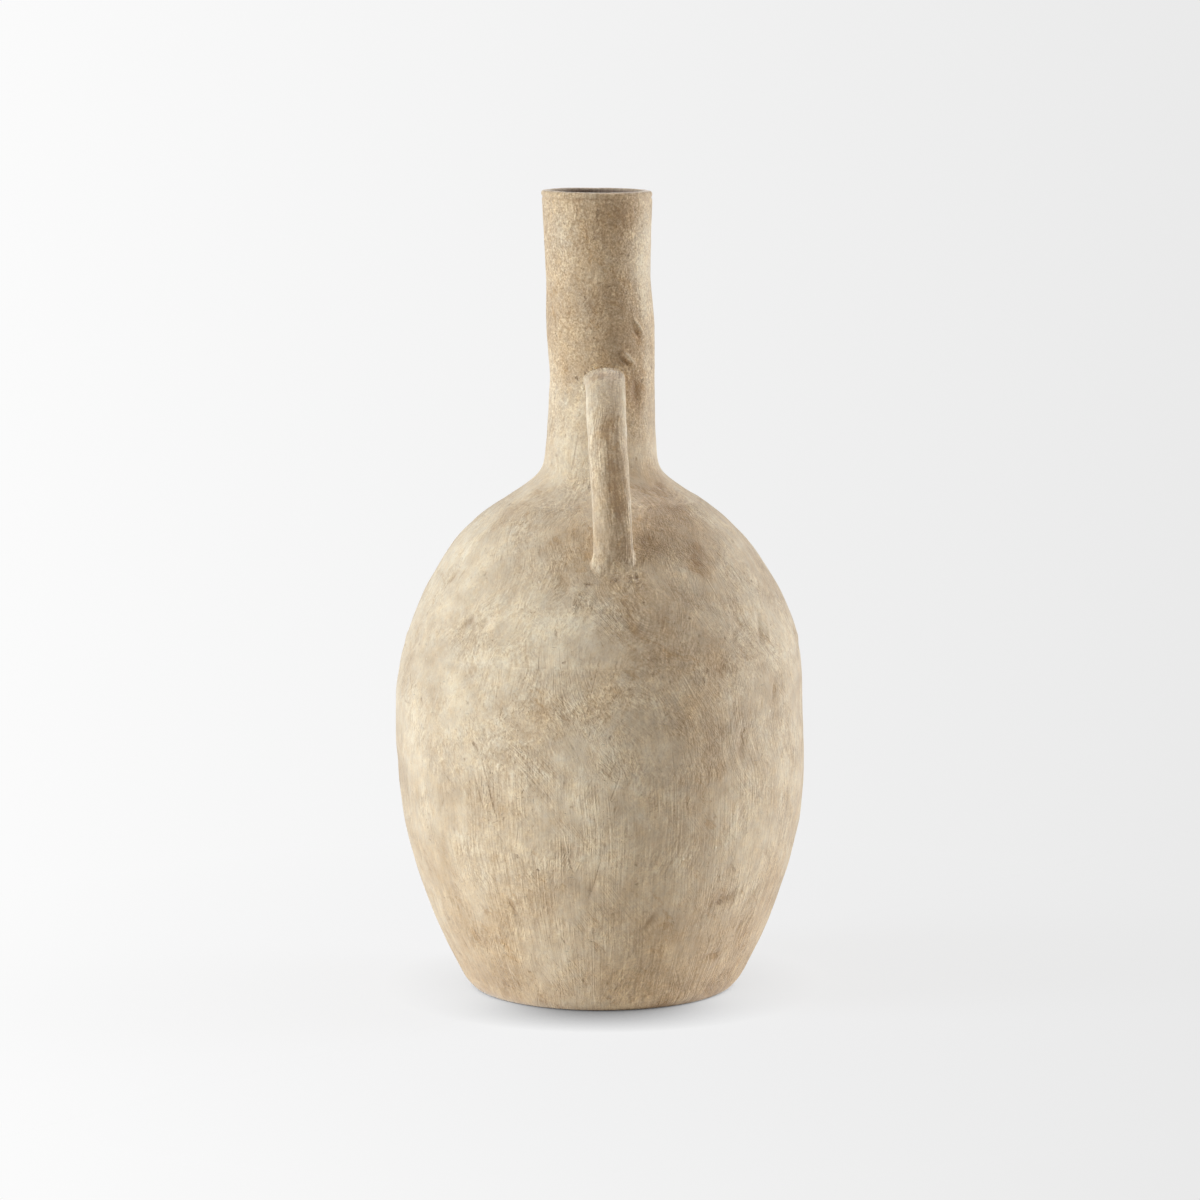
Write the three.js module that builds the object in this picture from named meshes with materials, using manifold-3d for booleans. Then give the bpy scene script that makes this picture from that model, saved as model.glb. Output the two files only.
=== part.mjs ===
// A hand-built earthenware bottle vase: an egg-shaped body with a tall slim neck and one strap handle,
// which runs from halfway up the neck down to the shoulder.
// It is built up as a potter joins it: a floor slab, two body sections and a neck, seated on each other
// by a tongue and groove, a coil that fills the corner round the neck, and a handle that is luted on at
// both ends.
// Millimetres, +Z up. The origin is the centre of the underside, and the handle faces -Y.

import * as THREE from "three";
import { mergeVertices } from "three/addons/utils/BufferGeometryUtils.js";
import Module from "manifold-3d";

// Outside form of the pot: radii from its axis, and heights above the surface that it stands on.
const totalHeight = 457;
const footRadius = 76.1; // where the slope of the wall would meet that surface
const footWear = 1.1; // how far the edge is rubbed back from there
const footRound = 6; // height of the worn edge
const footLean = 29.7; // degrees from upright of the wall where it leaves the foot
const footRise = 96.5; // how strongly that lean carries up the wall
const bellyRadius = 116.5;
const bellyHeight = 168;
const bellyFullnessBelow = 30; // pull of the near-upright wall below the widest place
const bellyFullnessAbove = 45; // and above it
const shoulderRadius = 56; // where the shoulder ends and the hollow curve up to the neck begins
const shoulderHeight = 281.8;
const shoulderSlope = 31.4; // degrees from level of the shoulder there
const shoulderRun = 40.5; // how far that slope carries back down the shoulder
const neckRootRadius = 31; // where the hollow curve ends and the neck proper begins
const neckRootHeight = 323;
const hollowPullLow = 27.5; // how far the hollow curve follows the shoulder
const hollowPullHigh = 26; // and the neck
const neckWaistRadius = 29.7; // the neck draws in a little where the handle leaves it
const neckWaistHeight = 350;
const neckSwellRadius = 30.5; // swells slightly above that
const neckSwellHeight = 380;
const neckGripRadius = 29.6; // draws in once more
const neckGripHeight = 410;
const lipRadius = 31.4; // and opens to the lip
const lipRound = 2.6; // height of the rounded lip

// Walls.
const floorThickness = 10;
const bellyWall = 8;
const neckWall = 6;

// The pot's axis wanders sideways, as a hand-built pot's does: its shift towards +X, and where.
const lowerShift = 0.2;
const lowerShiftHeight = 62;
const bellyShift = -1.8;
const bellyShiftHeight = 163;
const shoulderShift = 0.2;
const shoulderShiftHeight = 217;
const neckRootShift = -0.6;
const neckRootShiftHeight = 285;
const neckShift = -0.2;
const neckShiftHeight = 350;
const lipShift = -3.3;

// Joints between the sections of the wall.
const bodySeamHeight = 200; // where the two halves of the body meet
const tongueWidth = 3;
const tongueDepth = 2.2;
const tongueTaper = 0.7; // how much narrower each flank makes the tongue's end
const slipGap = 0.3; // the film of slip in a joint, wherever it isn't pressed face to face
const coilBed = 1.5; // how deep the coil round the neck is let into the neck and the shoulder

// Strap handle.
const handleWidth = 22;
const handleThickness = 12;
const handleFootThickness = 7; // thinned where it is pressed on to the shoulder
const handleSquareness = 2.7; // exponent of the strap's rounded section: 2 would be an oval
const handleTopHeight = 351.5; // where the middle of the strap leaves the neck
const handleReach = 24; // how far the strap runs level before it turns down
const handleFootRadius = 83; // where the middle of the strap meets the shoulder
const handleFootHeight = 260;
const handleFootLean = 15; // degrees from upright of the strap at its foot
const handleFootRun = 45; // how far that lean carries back up the strap
const handleTopShift = -2.1; // the strap sits a little askew: its shift towards +X at the top
const handleFootShift = -0.6; // and at the foot
const topLuteLength = 7; // the clay pressed round the strap where it leaves the neck
const topLuteFlare = 3.2; // how far it stands out from the strap's edges where it meets the neck
const footLuteLength = 9; // and where it lands on the shoulder
const footLuteFlare = 3.6;
const luteFlatness = 0.6; // share of that by which it stands off the strap's faces
const luteEdge = 1.4; // thickness of each lute at its thin end
const buriedAtTop = 7; // how far the strap is drawn on inside the neck before the pot's outside cuts it
const buriedAtFoot = 26; // and inside the shoulder, which it meets at a slant

// Fineness of the facets.
const facetsRound = 48;
const facetsStrap = 20;
const curveSamples = 160;

const wasm = await Module();
wasm.setup();

function at(radius, height) {
  return new THREE.Vector2(radius, height);
}

// The way the shoulder rises towards the neck, as a unit (radius, height).
function shoulderDirection() {
  const slope = THREE.MathUtils.degToRad(shoulderSlope);
  return at(-Math.cos(slope), Math.sin(slope));
}

// The hollow curve between shoulder and neck, which is the face of the coil.
function hollowCurve() {
  const shoulder = at(shoulderRadius, shoulderHeight);
  return new THREE.CubicBezierCurve(
    shoulder,
    shoulder.clone().addScaledVector(shoulderDirection(), hollowPullLow),
    at(neckRootRadius, neckRootHeight - hollowPullHigh),
    at(neckRootRadius, neckRootHeight),
  );
}

function lowerBodyCurve() {
  const lean = THREE.MathUtils.degToRad(footLean);
  return new THREE.CubicBezierCurve(
    at(footRadius, 0),
    at(footRadius + footRise * Math.sin(lean), footRise * Math.cos(lean)),
    at(bellyRadius, bellyHeight - bellyFullnessBelow),
    at(bellyRadius, bellyHeight),
  );
}

function upperBodyCurve() {
  const shoulder = at(shoulderRadius, shoulderHeight);
  return new THREE.CubicBezierCurve(
    at(bellyRadius, bellyHeight),
    at(bellyRadius, bellyHeight + bellyFullnessAbove),
    shoulder.clone().addScaledVector(shoulderDirection(), -shoulderRun),
    shoulder,
  );
}

function neckCurve() {
  return new THREE.SplineCurve([
    at(neckRootRadius, neckRootHeight),
    at(neckWaistRadius, neckWaistHeight),
    at(neckSwellRadius, neckSwellHeight),
    at(neckGripRadius, neckGripHeight),
    at(lipRadius, totalHeight - lipRound),
  ]);
}

// The line a set distance inside a curve, which runs upwards with the clay on its left.
function insideLine(curve, wall) {
  const line = [];
  for (let i = 0; i <= curveSamples; i++) {
    const tangent = curve.getTangent(i / curveSamples);
    const point = curve.getPoint(i / curveSamples);
    line.push(at(point.x - tangent.y * wall, point.y + tangent.x * wall));
  }
  return line;
}

// The radius of a line of points at a height, straight between the points.
function radiusOn(line, height) {
  const next = line.findIndex((point) => point.y >= height);
  if (next === 0) return line[0].x;
  if (next < 0) return line[line.length - 1].x;
  const low = line[next - 1];
  const high = line[next];
  return THREE.MathUtils.mapLinear(height, low.y, high.y, low.x, high.x);
}

// The stretch of a line of points between two heights, thinned to this many lengths.
function stretch(line, low, high, count) {
  const within = line.filter((point) => point.y > low && point.y < high);
  const kept = steps(0, 1, count)
    .slice(1, -1)
    .map((share) => within[Math.round(share * (within.length - 1))]);
  return [at(radiusOn(line, low), low), ...kept, at(radiusOn(line, high), high)];
}

// Numbers that go evenly from one to the other.
function steps(from, to, count) {
  return Array.from({ length: count + 1 }, (_, i) => THREE.MathUtils.lerp(from, to, i / count));
}

const bodyOutside = [
  ...lowerBodyCurve().getPoints(curveSamples),
  ...upperBodyCurve().getPoints(curveSamples).slice(1),
];
const bodyInside = [
  ...insideLine(lowerBodyCurve(), bellyWall),
  ...insideLine(upperBodyCurve(), bellyWall).slice(1),
];
const neckOutside = neckCurve().getPoints(curveSamples);
const potOutside = [
  ...bodyOutside,
  ...hollowCurve().getPoints(curveSamples).slice(1),
  ...neckOutside.slice(1),
];
const boreRadius = neckRootRadius - neckWall;
const spigotRadius = neckRootRadius - coilBed; // the neck under its coil

// The bed that the coil lies on is the shoulder carried on up to the neck, let in by the coil's depth.
function bedHeight(radius, depth) {
  const slope = THREE.MathUtils.degToRad(shoulderSlope);
  return shoulderHeight + (shoulderRadius - radius) * Math.tan(slope) - depth / Math.cos(slope);
}

const neckSeatHeight = bedHeight(spigotRadius, coilBed);

// The shift of the pot's axis towards +X, by height.
const axisShift = new THREE.SplineCurve([
  at(0, 0),
  at(lowerShift, lowerShiftHeight),
  at(bellyShift, bellyShiftHeight),
  at(shoulderShift, shoulderShiftHeight),
  at(neckRootShift, neckRootShiftHeight),
  at(neckShift, neckShiftHeight),
  at(lipShift, totalHeight),
]).getPoints(curveSamples);

// A ring of the tongue and groove joint, outermost point first. The groove is cut into the lower
// section's flat rim and the tongue stands under the upper one's, narrower by the film of slip.
function tongueOutline(outer, inner, height, clearance) {
  const middle = (outer + inner) / 2;
  const root = tongueWidth / 2 - clearance;
  const tip = root - tongueTaper;
  const bottom = height - tongueDepth + clearance;
  return [
    at(outer, height),
    at(middle + root, height),
    at(middle + tip, bottom),
    at(middle - tip, bottom),
    at(middle - root, height),
    at(inner, height),
  ];
}

function grooveOutline(outer, inner, height) {
  return tongueOutline(outer, inner, height, 0);
}

// Turns a closed section into a ring or a solid, and moves each level of it on to the pot's axis.
// The section goes up the outside and comes down the inside.
function turned(section) {
  const closed = section[0].x === 0 ? section : [...section, section[0]];
  const geometry = new THREE.LatheGeometry(closed, facetsRound);
  geometry.rotateX(Math.PI / 2);
  const place = geometry.getAttribute("position");
  for (let i = 0; i < place.count; i++) {
    place.setX(i, place.getX(i) + radiusOn(axisShift, place.getZ(i)));
  }
  return geometry;
}

// A closed solid through rings of as many points each, with flat ends.
function lofted(rings) {
  const count = rings[0].length;
  const points = rings.flat();
  const faces = [];
  for (let i = 0; i + 1 < rings.length; i++) {
    for (let j = 0; j < count; j++) {
      const a = i * count + j;
      const b = i * count + ((j + 1) % count);
      faces.push(a, b, b + count, a, b + count, a + count);
    }
  }
  const last = (rings.length - 1) * count;
  for (let j = 1; j + 1 < count; j++) {
    faces.push(0, j + 1, j, last, last + j, last + j + 1);
  }
  return new THREE.BufferGeometry().setFromPoints(points).setIndex(faces);
}

function solidOf(geometry) {
  const plain = geometry.clone();
  plain.deleteAttribute("normal");
  plain.deleteAttribute("uv");
  const merged = mergeVertices(plain, 1e-3);
  return new wasm.Manifold(
    new wasm.Mesh({
      numProp: 3,
      vertProperties: merged.getAttribute("position").array,
      triVerts: new Uint32Array(merged.index.array),
    }),
  );
}

function geometryOf(solid) {
  const mesh = solid.getMesh();
  return new THREE.BufferGeometry()
    .setAttribute("position", new THREE.BufferAttribute(mesh.vertProperties, 3))
    .setIndex(new THREE.BufferAttribute(mesh.triVerts, 1));
}

// The floor slab: a disc with a worn lower edge and a grooved rim, which the wall stands on.
function floorSlab() {
  const edge = new THREE.QuadraticBezierCurve(
    at(footRadius - footWear - footRound / 2, 0),
    at(footRadius - footWear, 0),
    at(radiusOn(bodyOutside, footRound), footRound),
  );
  const outer = radiusOn(bodyOutside, floorThickness);
  const inner = radiusOn(bodyInside, floorThickness);
  return turned([at(0, 0), ...edge.getPoints(3), ...grooveOutline(outer, inner, floorThickness), at(0, floorThickness)]);
}

// The wall between two flat seams, with a tongue below and a groove above.
function wallBetween(low, high, rings) {
  const outside = stretch(bodyOutside, low, high, rings);
  const inside = stretch(bodyInside, low, high, rings - 4);
  const foot = tongueOutline(outside[0].x, inside[0].x, low, slipGap);
  const rim = grooveOutline(outside.at(-1).x, inside.at(-1).x, high);
  return turned([...outside.slice(0, -1), ...rim, ...inside.slice(1, -1).reverse(), ...foot.slice(1).reverse()]);
}

// The dome of the shoulder: from the body seam up to the bed of the coil and the seat of the neck.
function shoulderDome() {
  const along = shoulderDirection();
  const shoulder = at(shoulderRadius, shoulderHeight);
  const step = at(shoulder.x - coilBed * along.y, shoulder.y + coilBed * along.x);
  const under = insideLine(upperBodyCurve(), bellyWall).at(-1);
  const slope = THREE.MathUtils.degToRad(shoulderSlope);
  const mouth = at(boreRadius, under.y + (under.x - boreRadius) * Math.tan(slope));
  const outside = stretch(bodyOutside, bodySeamHeight, shoulderHeight, 9);
  const inside = stretch(bodyInside, bodySeamHeight, under.y, 5);
  const seat = grooveOutline(spigotRadius, boreRadius, neckSeatHeight);
  const foot = tongueOutline(outside[0].x, inside[0].x, bodySeamHeight, slipGap);
  return turned([...outside, step, ...seat, mouth, ...inside.slice(1).reverse(), ...foot.slice(1).reverse()]);
}

// The neck: a straight spigot under the coil, the handmade swell above it, and a rounded lip.
function neck() {
  const outside = stretch(neckOutside, neckRootHeight, totalHeight - lipRound, 12);
  const lipInside = lipRadius - neckWall;
  const lip = new THREE.EllipseCurve(
    (lipRadius + lipInside) / 2,
    totalHeight - lipRound,
    neckWall / 2,
    lipRound,
    0,
    Math.PI,
  ).getPoints(6);
  const inside = outside.filter((_, i) => i % 2 === 0).map((point) => at(point.x - neckWall, point.y));
  const foot = tongueOutline(spigotRadius, boreRadius, neckSeatHeight, slipGap);
  return turned([
    foot[0],
    at(spigotRadius, neckRootHeight),
    ...outside.slice(0, -1),
    ...lip,
    ...inside.slice(0, -1).reverse(),
    ...foot.slice(1).reverse(),
  ]);
}

// The coil that fills the corner between shoulder and neck, smoothed to the hollow curve.
function neckCoil() {
  const along = shoulderDirection();
  const tip = at(shoulderRadius, shoulderHeight).addScaledVector(along, slipGap);
  const face = hollowCurve().getPoints(8).slice(1);
  const bore = spigotRadius + slipGap;
  const corner = at(bore, bedHeight(bore, coilBed - slipGap));
  const depth = coilBed - slipGap;
  const toe = at(tip.x - depth * along.y, tip.y + depth * along.x);
  return turned([tip, ...face, at(bore, neckRootHeight), corner, toe]);
}

// The middle line of the strap, in the plane of the handle: it runs inside the clay at both ends.
function handleLine(startInside, endInside) {
  const lean = THREE.MathUtils.degToRad(handleFootLean);
  const foot = at(handleFootRadius, handleFootHeight);
  const down = at(Math.sin(lean), -Math.cos(lean));
  const topRadius = radiusOn(neckOutside, handleTopHeight);
  const bend = new THREE.CubicBezierCurve(
    at(topRadius, handleTopHeight),
    at(topRadius + handleReach, handleTopHeight),
    foot.clone().addScaledVector(down, -handleFootRun),
    foot,
  );
  const line = new THREE.CurvePath();
  line.add(new THREE.LineCurve(at(topRadius - startInside, handleTopHeight), at(topRadius, handleTopHeight)));
  line.add(bend);
  line.add(new THREE.LineCurve(foot, foot.clone().addScaledVector(down, endInside)));
  return line;
}

// Rings of the strap's rounded section along a stretch of its middle line. grow(way) says how much
// wider and thicker each side is made, where way goes from 0 to 1 along the whole line.
function strapRings(line, from, to, count, grow) {
  return steps(from, to, count).map((way) => {
    const middle = line.getPointAt(way);
    const tangent = line.getTangentAt(way);
    const down = THREE.MathUtils.clamp(
      (handleTopHeight - middle.y) / (handleTopHeight - handleFootHeight), 0, 1,
    );
    const sideways = THREE.MathUtils.lerp(handleTopShift, handleFootShift, down);
    const thickness = THREE.MathUtils.lerp(handleThickness, handleFootThickness, down * down);
    const grown = grow(way);
    const halfWidth = handleWidth / 2 + grown.x;
    const halfThickness = thickness / 2 + grown.y;
    return Array.from({ length: facetsStrap }, (_, i) => {
      const turn = (2 * Math.PI * i) / facetsStrap;
      const across = halfWidth * rounded(Math.cos(turn));
      const through = halfThickness * rounded(Math.sin(turn));
      return new THREE.Vector3(
        sideways + across,
        -(middle.x - tangent.y * through),
        middle.y + tangent.x * through,
      );
    });
  });
}

// One coordinate of a superellipse, from the cosine or sine of the angle.
function rounded(value) {
  return Math.sign(value) * Math.abs(value) ** (2 / handleSquareness);
}

// The outside of the whole pot, swollen by the film of slip: what the handle and its lutes are cut to.
function potCutter() {
  const outside = stretch(potOutside, 0, totalHeight, 60).map((point) => at(point.x + 2 * slipGap, point.y));
  return solidOf(turned([at(0, 0), ...outside, at(0, totalHeight)]));
}

const handlePath = handleLine(buriedAtTop, buriedAtFoot);
const handleLength = handlePath.getLength();
const pot = potCutter();

function handle() {
  const strap = solidOf(lofted(strapRings(handlePath, 0, 1, 30, () => at(0, 0))));
  return geometryOf(strap.subtract(pot));
}

// A lute: a collar of clay that flares from the strap on to the wall, cut to both.
function lute(buried, length, flare) {
  const wallWay = buried / handleLength;
  const edgeWay = (buried + length) / handleLength;
  const flared = (way) => {
    const left = THREE.MathUtils.clamp(1 - (way - wallWay) / (edgeWay - wallWay), 0, 1);
    const edge = luteEdge + (flare - luteEdge) * left * left;
    return at(edge, luteEdge + (edge - luteEdge) * luteFlatness);
  };
  return { edgeWay, flared };
}

function handleTopLute() {
  const { edgeWay, flared } = lute(buriedAtTop, topLuteLength, topLuteFlare);
  const collar = solidOf(lofted(strapRings(handlePath, 0, edgeWay, 6, flared)));
  const room = solidOf(lofted(strapRings(handlePath, 0, 2 * edgeWay, 8, () => at(slipGap, slipGap))));
  return geometryOf(collar.subtract(room).subtract(pot));
}

function handleFootLute() {
  const { edgeWay, flared } = lute(buriedAtFoot, footLuteLength, footLuteFlare);
  const collar = solidOf(lofted(strapRings(handlePath, 1 - edgeWay, 1, 8, (way) => flared(1 - way))));
  const room = solidOf(lofted(strapRings(handlePath, 1 - 2 * edgeWay, 1, 10, () => at(slipGap, slipGap))));
  return geometryOf(collar.subtract(room).subtract(pot));
}

// Each piece of clay, under its name and in its colour: the slip is paler where it was brushed thick.
function piece(name, geometry, colour) {
  const finish = new THREE.MeshStandardMaterial({ color: colour, roughness: 0.95, metalness: 0 });
  const mesh = new THREE.Mesh(geometry, finish);
  mesh.name = name;
  return mesh;
}

const vase = new THREE.Group();
vase.add(
  piece("floor_slab", floorSlab(), 0xb59c7a),
  piece("belly_wall", wallBetween(floorThickness, bodySeamHeight, 11), 0xcbb594),
  piece("shoulder_dome", shoulderDome(), 0xc4ac8a),
  piece("neck", neck(), 0xcdb796),
  piece("neck_coil", neckCoil(), 0xc8b08d),
  piece("handle", handle(), 0xc9b492),
  piece("handle_top_lute", handleTopLute(), 0xd4c3a4),
  piece("handle_foot_lute", handleFootLute(), 0xbfa784),
);

export default vase;
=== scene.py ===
import math

import bpy
import numpy as np
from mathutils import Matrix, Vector


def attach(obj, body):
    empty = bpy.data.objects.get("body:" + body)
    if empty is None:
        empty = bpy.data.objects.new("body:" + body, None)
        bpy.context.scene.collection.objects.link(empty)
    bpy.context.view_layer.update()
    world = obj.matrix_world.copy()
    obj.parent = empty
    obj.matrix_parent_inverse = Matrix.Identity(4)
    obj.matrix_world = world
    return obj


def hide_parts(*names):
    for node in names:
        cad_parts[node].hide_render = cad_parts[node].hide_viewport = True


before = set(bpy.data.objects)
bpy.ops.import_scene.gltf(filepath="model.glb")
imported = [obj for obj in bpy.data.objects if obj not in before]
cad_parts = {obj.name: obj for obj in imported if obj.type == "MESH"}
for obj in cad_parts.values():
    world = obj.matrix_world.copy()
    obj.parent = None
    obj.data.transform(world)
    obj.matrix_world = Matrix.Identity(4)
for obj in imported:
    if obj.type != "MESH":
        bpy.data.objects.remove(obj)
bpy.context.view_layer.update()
mm = 0.001

# the camera stands a little to the left of the handle and looks slightly down
camera = {
    "lens": 140,
    "sensor": 36,
    "distance": 2642.9,
    "height": 592.17,
    "pitch": 7.9474,
    "azimuth": -4.6,
    "aside": -1.29,
}

# the outline of the pot, the same landmarks as in the solids
pot = {
    "height": 457,
    "footRadius": 76.1,
    "footWear": 1.1,
    "footRound": 6,
    "footLean": 29.7,
    "footRise": 96.5,
    "belly": (116.5, 168),
    "fullBelow": 30,
    "fullAbove": 45,
    "shoulder": (56, 281.8),
    "shoulderSlope": 31.4,
    "shoulderRun": 40.5,
    "neckRoot": (31, 323),
    "hollowPulls": (27.5, 26),
    "neck": [(31, 323), (29.7, 350), (30.5, 380), (29.6, 410), (31.4, 454.4)],
    "lipRound": 2.6,
    "lipSquare": 3.2,  # exponent of the lip's section, 2 for a half ellipse
    "lipTilt": 0.3,  # the left side of the mouth stands this much higher
    "neckWall": 6,
    "bodyWall": 8,
    "floor": 10,
    "bodySeam": 200,
    "coilBed": 1.5,
    # how far the axis wanders towards +X, by height
    "wander": [(0, 0), (0.2, 62), (-1.8, 163), (0.2, 217), (-0.6, 285), (-0.2, 350), (-3.3, 457)],
}

strap = {
    # the section at seven places from the top of the strap to its foot and on into the wall
    "place": (0, 0.12, 0.35, 0.7, 1, 1.1, 1.2),
    "width": (22.4, 22.2, 22, 21.3, 22, 21, 18),
    "front": (6.2, 7.5, 9.5, 9, 6.6, 2.4, -0.5),  # how far the crowned front stands off the middle line
    "back": (5.5, 5.5, 5, 4, 3.2, 3, 3),
    "turned": (4, 3, -1, -8, -5, -3, -3),  # twist towards the left, degrees
    "squareLeft": (2.2, 2.2, 2, 2, 2, 2, 2),  # exponent of the rounded section, 2 for an ellipse
    "squareRight": (3, 2.4, 2, 3, 3, 2.4, 2),
    "askew": (-1.3, -2.1, -2.1, -1.2, -0.6, -0.6, -0.6),
    "top": (29.7, 351.5),
    "reach": 24,
    "foot": (83, 260),
    "footLean": 15,
    "footRun": 45,
    "buried": (3.5, 15),
    "columns": 168,
    "rows": 240,
    "drum": 9,
}


def bezier(points, count):
    # a cubic curve: the four points weighted by the Bernstein polynomials
    t = np.linspace(0, 1, count)[:, None]
    a, b, c, d = (np.array(p, float) for p in points)
    return (1 - t) ** 3 * a + 3 * (1 - t) ** 2 * t * b + 3 * (1 - t) * t**2 * c + t**3 * d


def throughPoints(points, count):
    # a uniform Catmull-Rom spline through the points, with its end points doubled
    p = np.array(points, float)
    p = np.vstack([p[:1], p, p[-1:]])
    t = np.linspace(0, len(points) - 1, count)
    i = np.minimum(t.astype(int), len(points) - 2)
    u = (t - i)[:, None]
    a, b, c, d = p[i], p[i + 1], p[i + 2], p[i + 3]
    return 0.5 * (2 * b + (c - a) * u + (2 * a - 5 * b + 4 * c - d) * u**2 + (3 * b - a - 3 * c + d) * u**3)


def outsideLine():
    # radius and height of the outside, from under the foot's edge to the crest of the lip
    lean = math.radians(pot["footLean"])
    slope = math.radians(pot["shoulderSlope"])
    rise = np.array([-math.cos(slope), math.sin(slope)])
    shoulder = np.array(pot["shoulder"], float)
    belly = np.array(pot["belly"], float)
    root = np.array(pot["neckRoot"], float)
    low, high = pot["hollowPulls"]
    leaning = pot["footRise"] * np.array([math.sin(lean), math.cos(lean)])
    ground = np.array([pot["footRadius"], 0], float)
    lower = bezier([ground, leaning + ground, belly - (0, pot["fullBelow"]), belly], 900)
    full = belly + (0, pot["fullAbove"])
    upper = bezier([belly, full, shoulder - pot["shoulderRun"] * rise, shoulder], 900)
    hollow = bezier([shoulder, shoulder + low * rise, root - (0, high), root], 500)
    neckLine = throughPoints(pot["neck"], 900)
    edge = pot["footRadius"] - pot["footWear"]
    worn = lower[lower[:, 1] >= pot["footRound"]]
    t = np.linspace(0, 1, 60)[:, None]
    start, corner = np.array([edge - pot["footRound"] / 2, 0]), np.array([edge, 0])
    foot = (1 - t) ** 2 * start + 2 * (1 - t) * t * corner + t**2 * worn[0]
    turn = np.linspace(0, math.pi / 2, 80)
    lipRadius, lipFoot = pot["neck"][-1]
    square = 2 / pot["lipSquare"]
    lip = np.stack(
        [
            lipRadius - pot["neckWall"] / 2 * (1 - np.cos(turn) ** square),
            lipFoot + pot["lipRound"] * np.sin(turn) ** square,
        ],
        1,
    )
    return np.vstack([foot, worn[1:], upper[1:], hollow[1:], neckLine[1:], lip[1:]])


outline = outsideLine()
outlineLength = np.concatenate([[0], np.cumsum(np.hypot(*np.diff(outline, axis=0).T))])
wanderLine = throughPoints([(h, s) for s, h in pot["wander"]], 600)


def alongAt(height):
    # distance along the outline at which it passes a height
    return np.interp(height, outline[:, 1], outlineLength)


def bell(x, wide):
    # a rounded rise: e to the minus square of the distance over its width
    return np.exp(-((x / wide) ** 2))


def wanderAt(z):
    return np.interp(z, wanderLine[:, 0], wanderLine[:, 1])


def radiusAt(z):
    return np.interp(z, outline[:, 1], outline[:, 0])


dice = np.random.default_rng(227)
shuffle = dice.permutation(256)
arrows = dice.normal(size=(256, 3))
arrows /= np.linalg.norm(arrows, axis=1)[:, None]


def cloud(points, size, layer=0):
    # gradient noise: a random arrow at each lattice corner, its dot product with the way to the
    # point, blended by a smooth step. It runs from about -0.6 to 0.6, and size is the lattice in mm
    p = points / size + 17.3 * layer
    cell = np.floor(p).astype(int)
    f = p - cell
    u = f**3 * (f * (f * 6 - 15) + 10)
    total = np.zeros(p.shape[:-1])
    for corner in np.ndindex(2, 2, 2):
        c = cell + corner
        pick = shuffle[(shuffle[(shuffle[c[..., 0] & 255] + c[..., 1]) & 255] + c[..., 2]) & 255]
        way = f - corner
        weight = np.prod(np.where(corner, u, 1 - u), axis=-1)
        total += weight * np.sum(arrows[pick] * way, axis=-1)
    return total


# dents, creases and lumps, listed one by one: angle, height, half length, half width, slant of
# the long way from upright towards the right, and how far it stands out
marks = [
    ("lower crease", 25.5, 364.4, 5.2, 1.0, -46, 2.0),
    ("its hollow", 22, 362.4, 4, 1.4, -46, -1.2),
    ("upper crease", 39.5, 381.4, 5, 1.0, -44, 2.0),
    ("its hollow", 37.5, 378.2, 3.2, 1.6, -42, -1.4),
    ("dimple by the nick", 0, 442, 3, 3, 0, -0.35),
    ("fold right of the strap", 35, 345, 7, 2.6, -6, -1.1),
    ("dent on the left shoulder", -68, 242, 5, 1.8, 40, -1.0),
    ("slanted groove", -50, 221, 7, 2.2, 42, -1.3),
    ("ridge over it", -48, 226, 7, 2.4, 42, 0.6),
    ("lump beside it", -39, 220, 3.4, 2.6, 20, 1.0),
    ("hollow beside the lump", -43, 222, 4, 2.2, 20, -0.7),
    ("right shoulder dent", 50, 215, 8, 1.8, 20, -1.0),
    ("right shoulder fold", 54, 213, 8, 1.8, 20, 0.6),
    ("right shoulder step", 41, 222, 9, 2.6, -38, -0.8),
    ("right flank dent", 53, 181, 5, 1.9, 10, -1.0),
    ("right flank mark", 38, 154, 9, 2.4, 6, -0.8),
    ("low right hollow", 36, 66, 3, 7, 0, -0.8),
    ("low right fold", 36, 62, 2.2, 7, 0, 0.5),
    ("low right gouge", 10, 57, 6, 1.9, 35, -0.9),
    ("low crease", 36, 31, 2, 7, -5, -0.8),
    ("low hollow", 47, 46, 5, 2, 20, -0.8),
    ("dark hollow left", -19, 247, 6, 4, -10, -0.8),
    ("press above the belly", -34, 252, 4, 9, 12, -0.6),
    ("arch of slip, left side", -13.5, 232.5, 4, 0.9, -3, 0.8),
    ("arch of slip, right side", -8.4, 234.5, 3, 0.9, 3, 0.7),
    ("inside the arch", -11, 235.5, 2.2, 1.9, 0, -0.35),
    ("above the arch", -11.2, 239.6, 0.8, 2.8, 0, -0.45),
    ("pit right of the handle", 7.6, 248.3, 1.1, 1.1, 0, -1.0),
    ("crumb under the pit", 6.9, 245.6, 1.0, 1.0, 0, 1.0),
    ("crumb by the handle", 4.6, 245.2, 0.9, 0.9, 0, 0.8),
    ("pit between the crumbs", 5.4, 247.6, 0.8, 0.8, 0, -0.8),
    ("crease under the crumb", 3.6, 242.3, 1.1, 2.6, -40, -0.6),
]
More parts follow.
